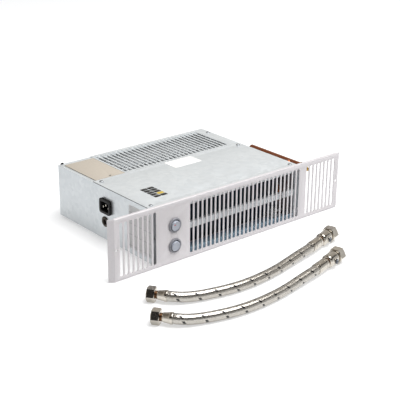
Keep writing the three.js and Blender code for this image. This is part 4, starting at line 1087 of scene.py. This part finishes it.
def make_thermostat():
    """Clip-on thermostat with a domed cap edge, its hanging lead and the pale plug."""
    x, z, foot = 116, 83.7, 12.9
    rows = [(0, 19.2, 13.2, 1.2), (0.4, 20, 14, 1.5), (3.2, 20, 14, 1.5), (3.6, 19, 13, 1.5),
            (3.7, 14, 11.5, 3), (4.4, 13.4, 11, 3), (4.7, 12, 10, 3)]
    build("thermostat_case", lofted(rows, place((x, 35.7, z), (0, -1, 0))), BLACK, "flow_thermostat", 35)
    rows = [(-5, 12.6, 12.6, 1.2), (-4.4, 14, 14, 1.6), (-1.2, 14, 14, 1.6), (-1.0, 13.2, 13.2, 1.4),
            (0.2, 13.2, 13.2, 1.4), (0.4, 14, 14, 1.6), (4.4, 14, 14, 1.6), (5, 12.6, 12.6, 1.2)]
    build("sensor_connector", lofted(rows, place((x, 29.2, foot), BACK)), WHITE, "sensor_plug", 35)
    hang, front = 4.6, 30.7
    route = np.array([
        (x, front, z), (x, front - 6, z), (x, 12.2, z - 0.5), (x, hang + 1, z - 7), (x, hang, z - 18),
        (x, hang, 54), (x, hang, 36), (x, hang + 1, foot + 12), (x, 11.2, foot + 5.5),
        (x, 18.9, foot + 2.6), (x, 23.9, foot + 2.5)])
    path, _ = smooth_path(route, 1.5)
    build("sensor_wire", swept(path, 2.0, 20, RIGHT), RUBBER, "sensor_lead", 60)


make_coil()
make_bends()
make_pipes()
make_vent()
make_thermostat()


# ------------------------------------------------------------------------------ labels
def flat_label(name, lowest, highest, material, proud=UP):
    """A thin sticker with rounded corners; proud is the axis that it stands out along."""
    centre, size = np.add(lowest, highest) / 2, np.subtract(highest, lowest)
    thin = int(np.argmax(np.abs(proud)))
    spread = [k for k in range(3) if k != thin]
    where = place(centre - np.array(proud) * size[thin] / 2, proud, np.eye(3)[spread[1]])
    width, height = size[spread]
    build(name, lofted([(0, width, height, 1.2), (size[thin] * 0.6, width, height, 1.2),
                        (size[thin], width - 0.1, height - 0.1, 1.2)], where), material, None, 40)


def make_labels():
    """Blank stickers and the small moulded tab at the rear left corner."""
    face = COVER_TOP + 0.12
    flat_label("label_cover", (-20, 131, COVER_TOP), (38, 163, face), PAPER)
    flat_label("label_side", (-165.52, 10, 14), (CASE_LEFT, 67, 88), RULED, (-1, 0, 0))
    for row in range(2):
        for column in range(5):
            x, y = -129 + 13 * row, 45 + 8.6 * column
            vinyl = YELLOW_VINYL if (row, column) == (1, 1) else BLACK_VINYL
            flat_label(f"label_wiring_{row}_{column}", (x, y, COVER_TOP), (x + 12, y + 7.4, face), vinyl)
    rows = [(0, 5.4, 2.1, 0.6), (1.6, 5.4, 2.1, 0.6), (2.2, 4.8, 1.6, 0.5)]
    build("rear_clip", lofted(rows, place((-158, 269.3, 96.0), UP, BACK)), BLACK, None, 40)


make_labels()


# ------------------------------------------------------------------------------ floor and light
FLOOR_LIFT = 0.5
LAMP_POWER = 75.0
LAMP_PLACE = (0.45, -0.75, 2.4)
LAMP_AIM = (0.0, 0.0, 0.05)
WORLD_POWER = 0.82
LEFT_SHADE = 0.1
DIFFUSE_SKY = [(0.0, "#7c7e82"), (0.10, "#8a8c90"), (0.35, "#e2e4e6"), (1.0, "#f4f5f6")]
FRONT_MIRRORED = [(0.0, "#f2f2f2"), (0.34, "#ecebe9"), (0.42, "#120f0d"), (0.70, "#120f0d"),
                  (0.82, "#8e877f"), (1.0, "#8e877f")]
BACK_MIRRORED = [(0.0, "#f2efe9"), (0.50, "#e6e0d8"), (0.80, "#8e877f"), (1.0, "#8e877f")]


def make_floor():
    """A pale floor. Camera, glossy and transmission rays see it a little brighter, so that it
    reads as white where no shadow lies, and no light is added for that."""
    material = bpy.data.materials.new("studio_floor")
    material.use_nodes = True
    tree = material.node_tree
    tree.nodes.clear()
    ray = node(tree, "ShaderNodeLightPath", {})
    seen = reckoned(tree, "MAXIMUM", ray["Is Camera Ray"], ray["Is Glossy Ray"])
    seen = reckoned(tree, "MAXIMUM", seen, ray["Is Transmission Ray"])
    shader = node(tree, "ShaderNodeBsdfPrincipled", {
        "Base Color": "#cfcfcf", "Roughness": 1.0, "Specular IOR Level": 0.0,
        "Emission Color": "#ffffff", "Emission Strength": reckoned(tree, "MULTIPLY", seen, FLOOR_LIFT)})
    node(tree, "ShaderNodeOutputMaterial", {"Surface": shader[0]})
    mesh = bpy.data.meshes.new("studio_floor")
    mesh.from_pydata([(-30, -30, 0), (30, -30, 0), (30, 30, 0), (-30, 30, 0)], [], [(0, 1, 2, 3)])
    mesh.materials.append(material)
    floor = bpy.data.objects.new("studio_floor", mesh)
    floor.location.z = -0.2 * MM
    bpy.context.scene.collection.objects.link(floor)


def sky(tree, height, stops):
    """Colour by height over the horizon, through (sine of the elevation, colour) stops."""
    ramp = tree.nodes.new("ShaderNodeValToRGB")
    feed(tree, ramp, {"Fac": height})
    while len(ramp.color_ramp.elements) < len(stops):
        ramp.color_ramp.elements.new(0.5)
    for element, (at, code) in zip(ramp.color_ramp.elements, stops):
        element.position = at
        element.color = linear(code)
    return ramp.outputs[0]


def make_light():
    """A bright overcast sky that darkens towards the horizon and the left, and one large soft lamp
    above. Shiny metal shows a studio's dark band in front, halfway up, and a greyer ceiling."""
    world = bpy.data.worlds.new("studio")
    bpy.context.scene.world = world
    world.use_nodes = True
    tree = world.node_tree
    tree.nodes.clear()
    x, y, height = separated(tree, node(tree, "ShaderNodeTexCoord", {})["Generated"])
    shade = ranged(tree, x, LEFT_SHADE, 1.0, -0.6, 0.2)
    colour = mixed(tree, shade, "#000000", sky(tree, height, DIFFUSE_SKY))
    ray = node(tree, "ShaderNodeLightPath", {})
    seen = reckoned(tree, "MAXIMUM", ray["Is Camera Ray"], ray["Is Transmission Ray"])
    colour = mixed(tree, seen, colour, "#ffffff")
    behind = ranged(tree, y, 0.0, 1.0, -0.15, 0.05)
    mirrored = mixed(tree, behind, sky(tree, height, FRONT_MIRRORED), sky(tree, height, BACK_MIRRORED))
    colour = mixed(tree, ray["Is Glossy Ray"], colour, mirrored)
    background = node(tree, "ShaderNodeBackground", {"Color": colour, "Strength": WORLD_POWER})
    node(tree, "ShaderNodeOutputWorld", {"Surface": background[0]})

    lamp = bpy.data.lights.new("soft_box", "AREA")
    lamp.shape = "RECTANGLE"
    lamp.size, lamp.size_y = 2.0, 1.4
    lamp.energy = LAMP_POWER
    box = bpy.data.objects.new("soft_box", lamp)
    ahead = np.subtract(LAMP_AIM, LAMP_PLACE)
    ahead /= np.linalg.norm(ahead)
    right = np.cross(ahead, UP)
    right /= np.linalg.norm(right)
    box.matrix_world = looking(right, np.cross(right, ahead), ahead, LAMP_PLACE)
    bpy.context.scene.collection.objects.link(box)


make_floor()
make_light()
bpy.context.scene.view_settings.view_transform = "Standard"
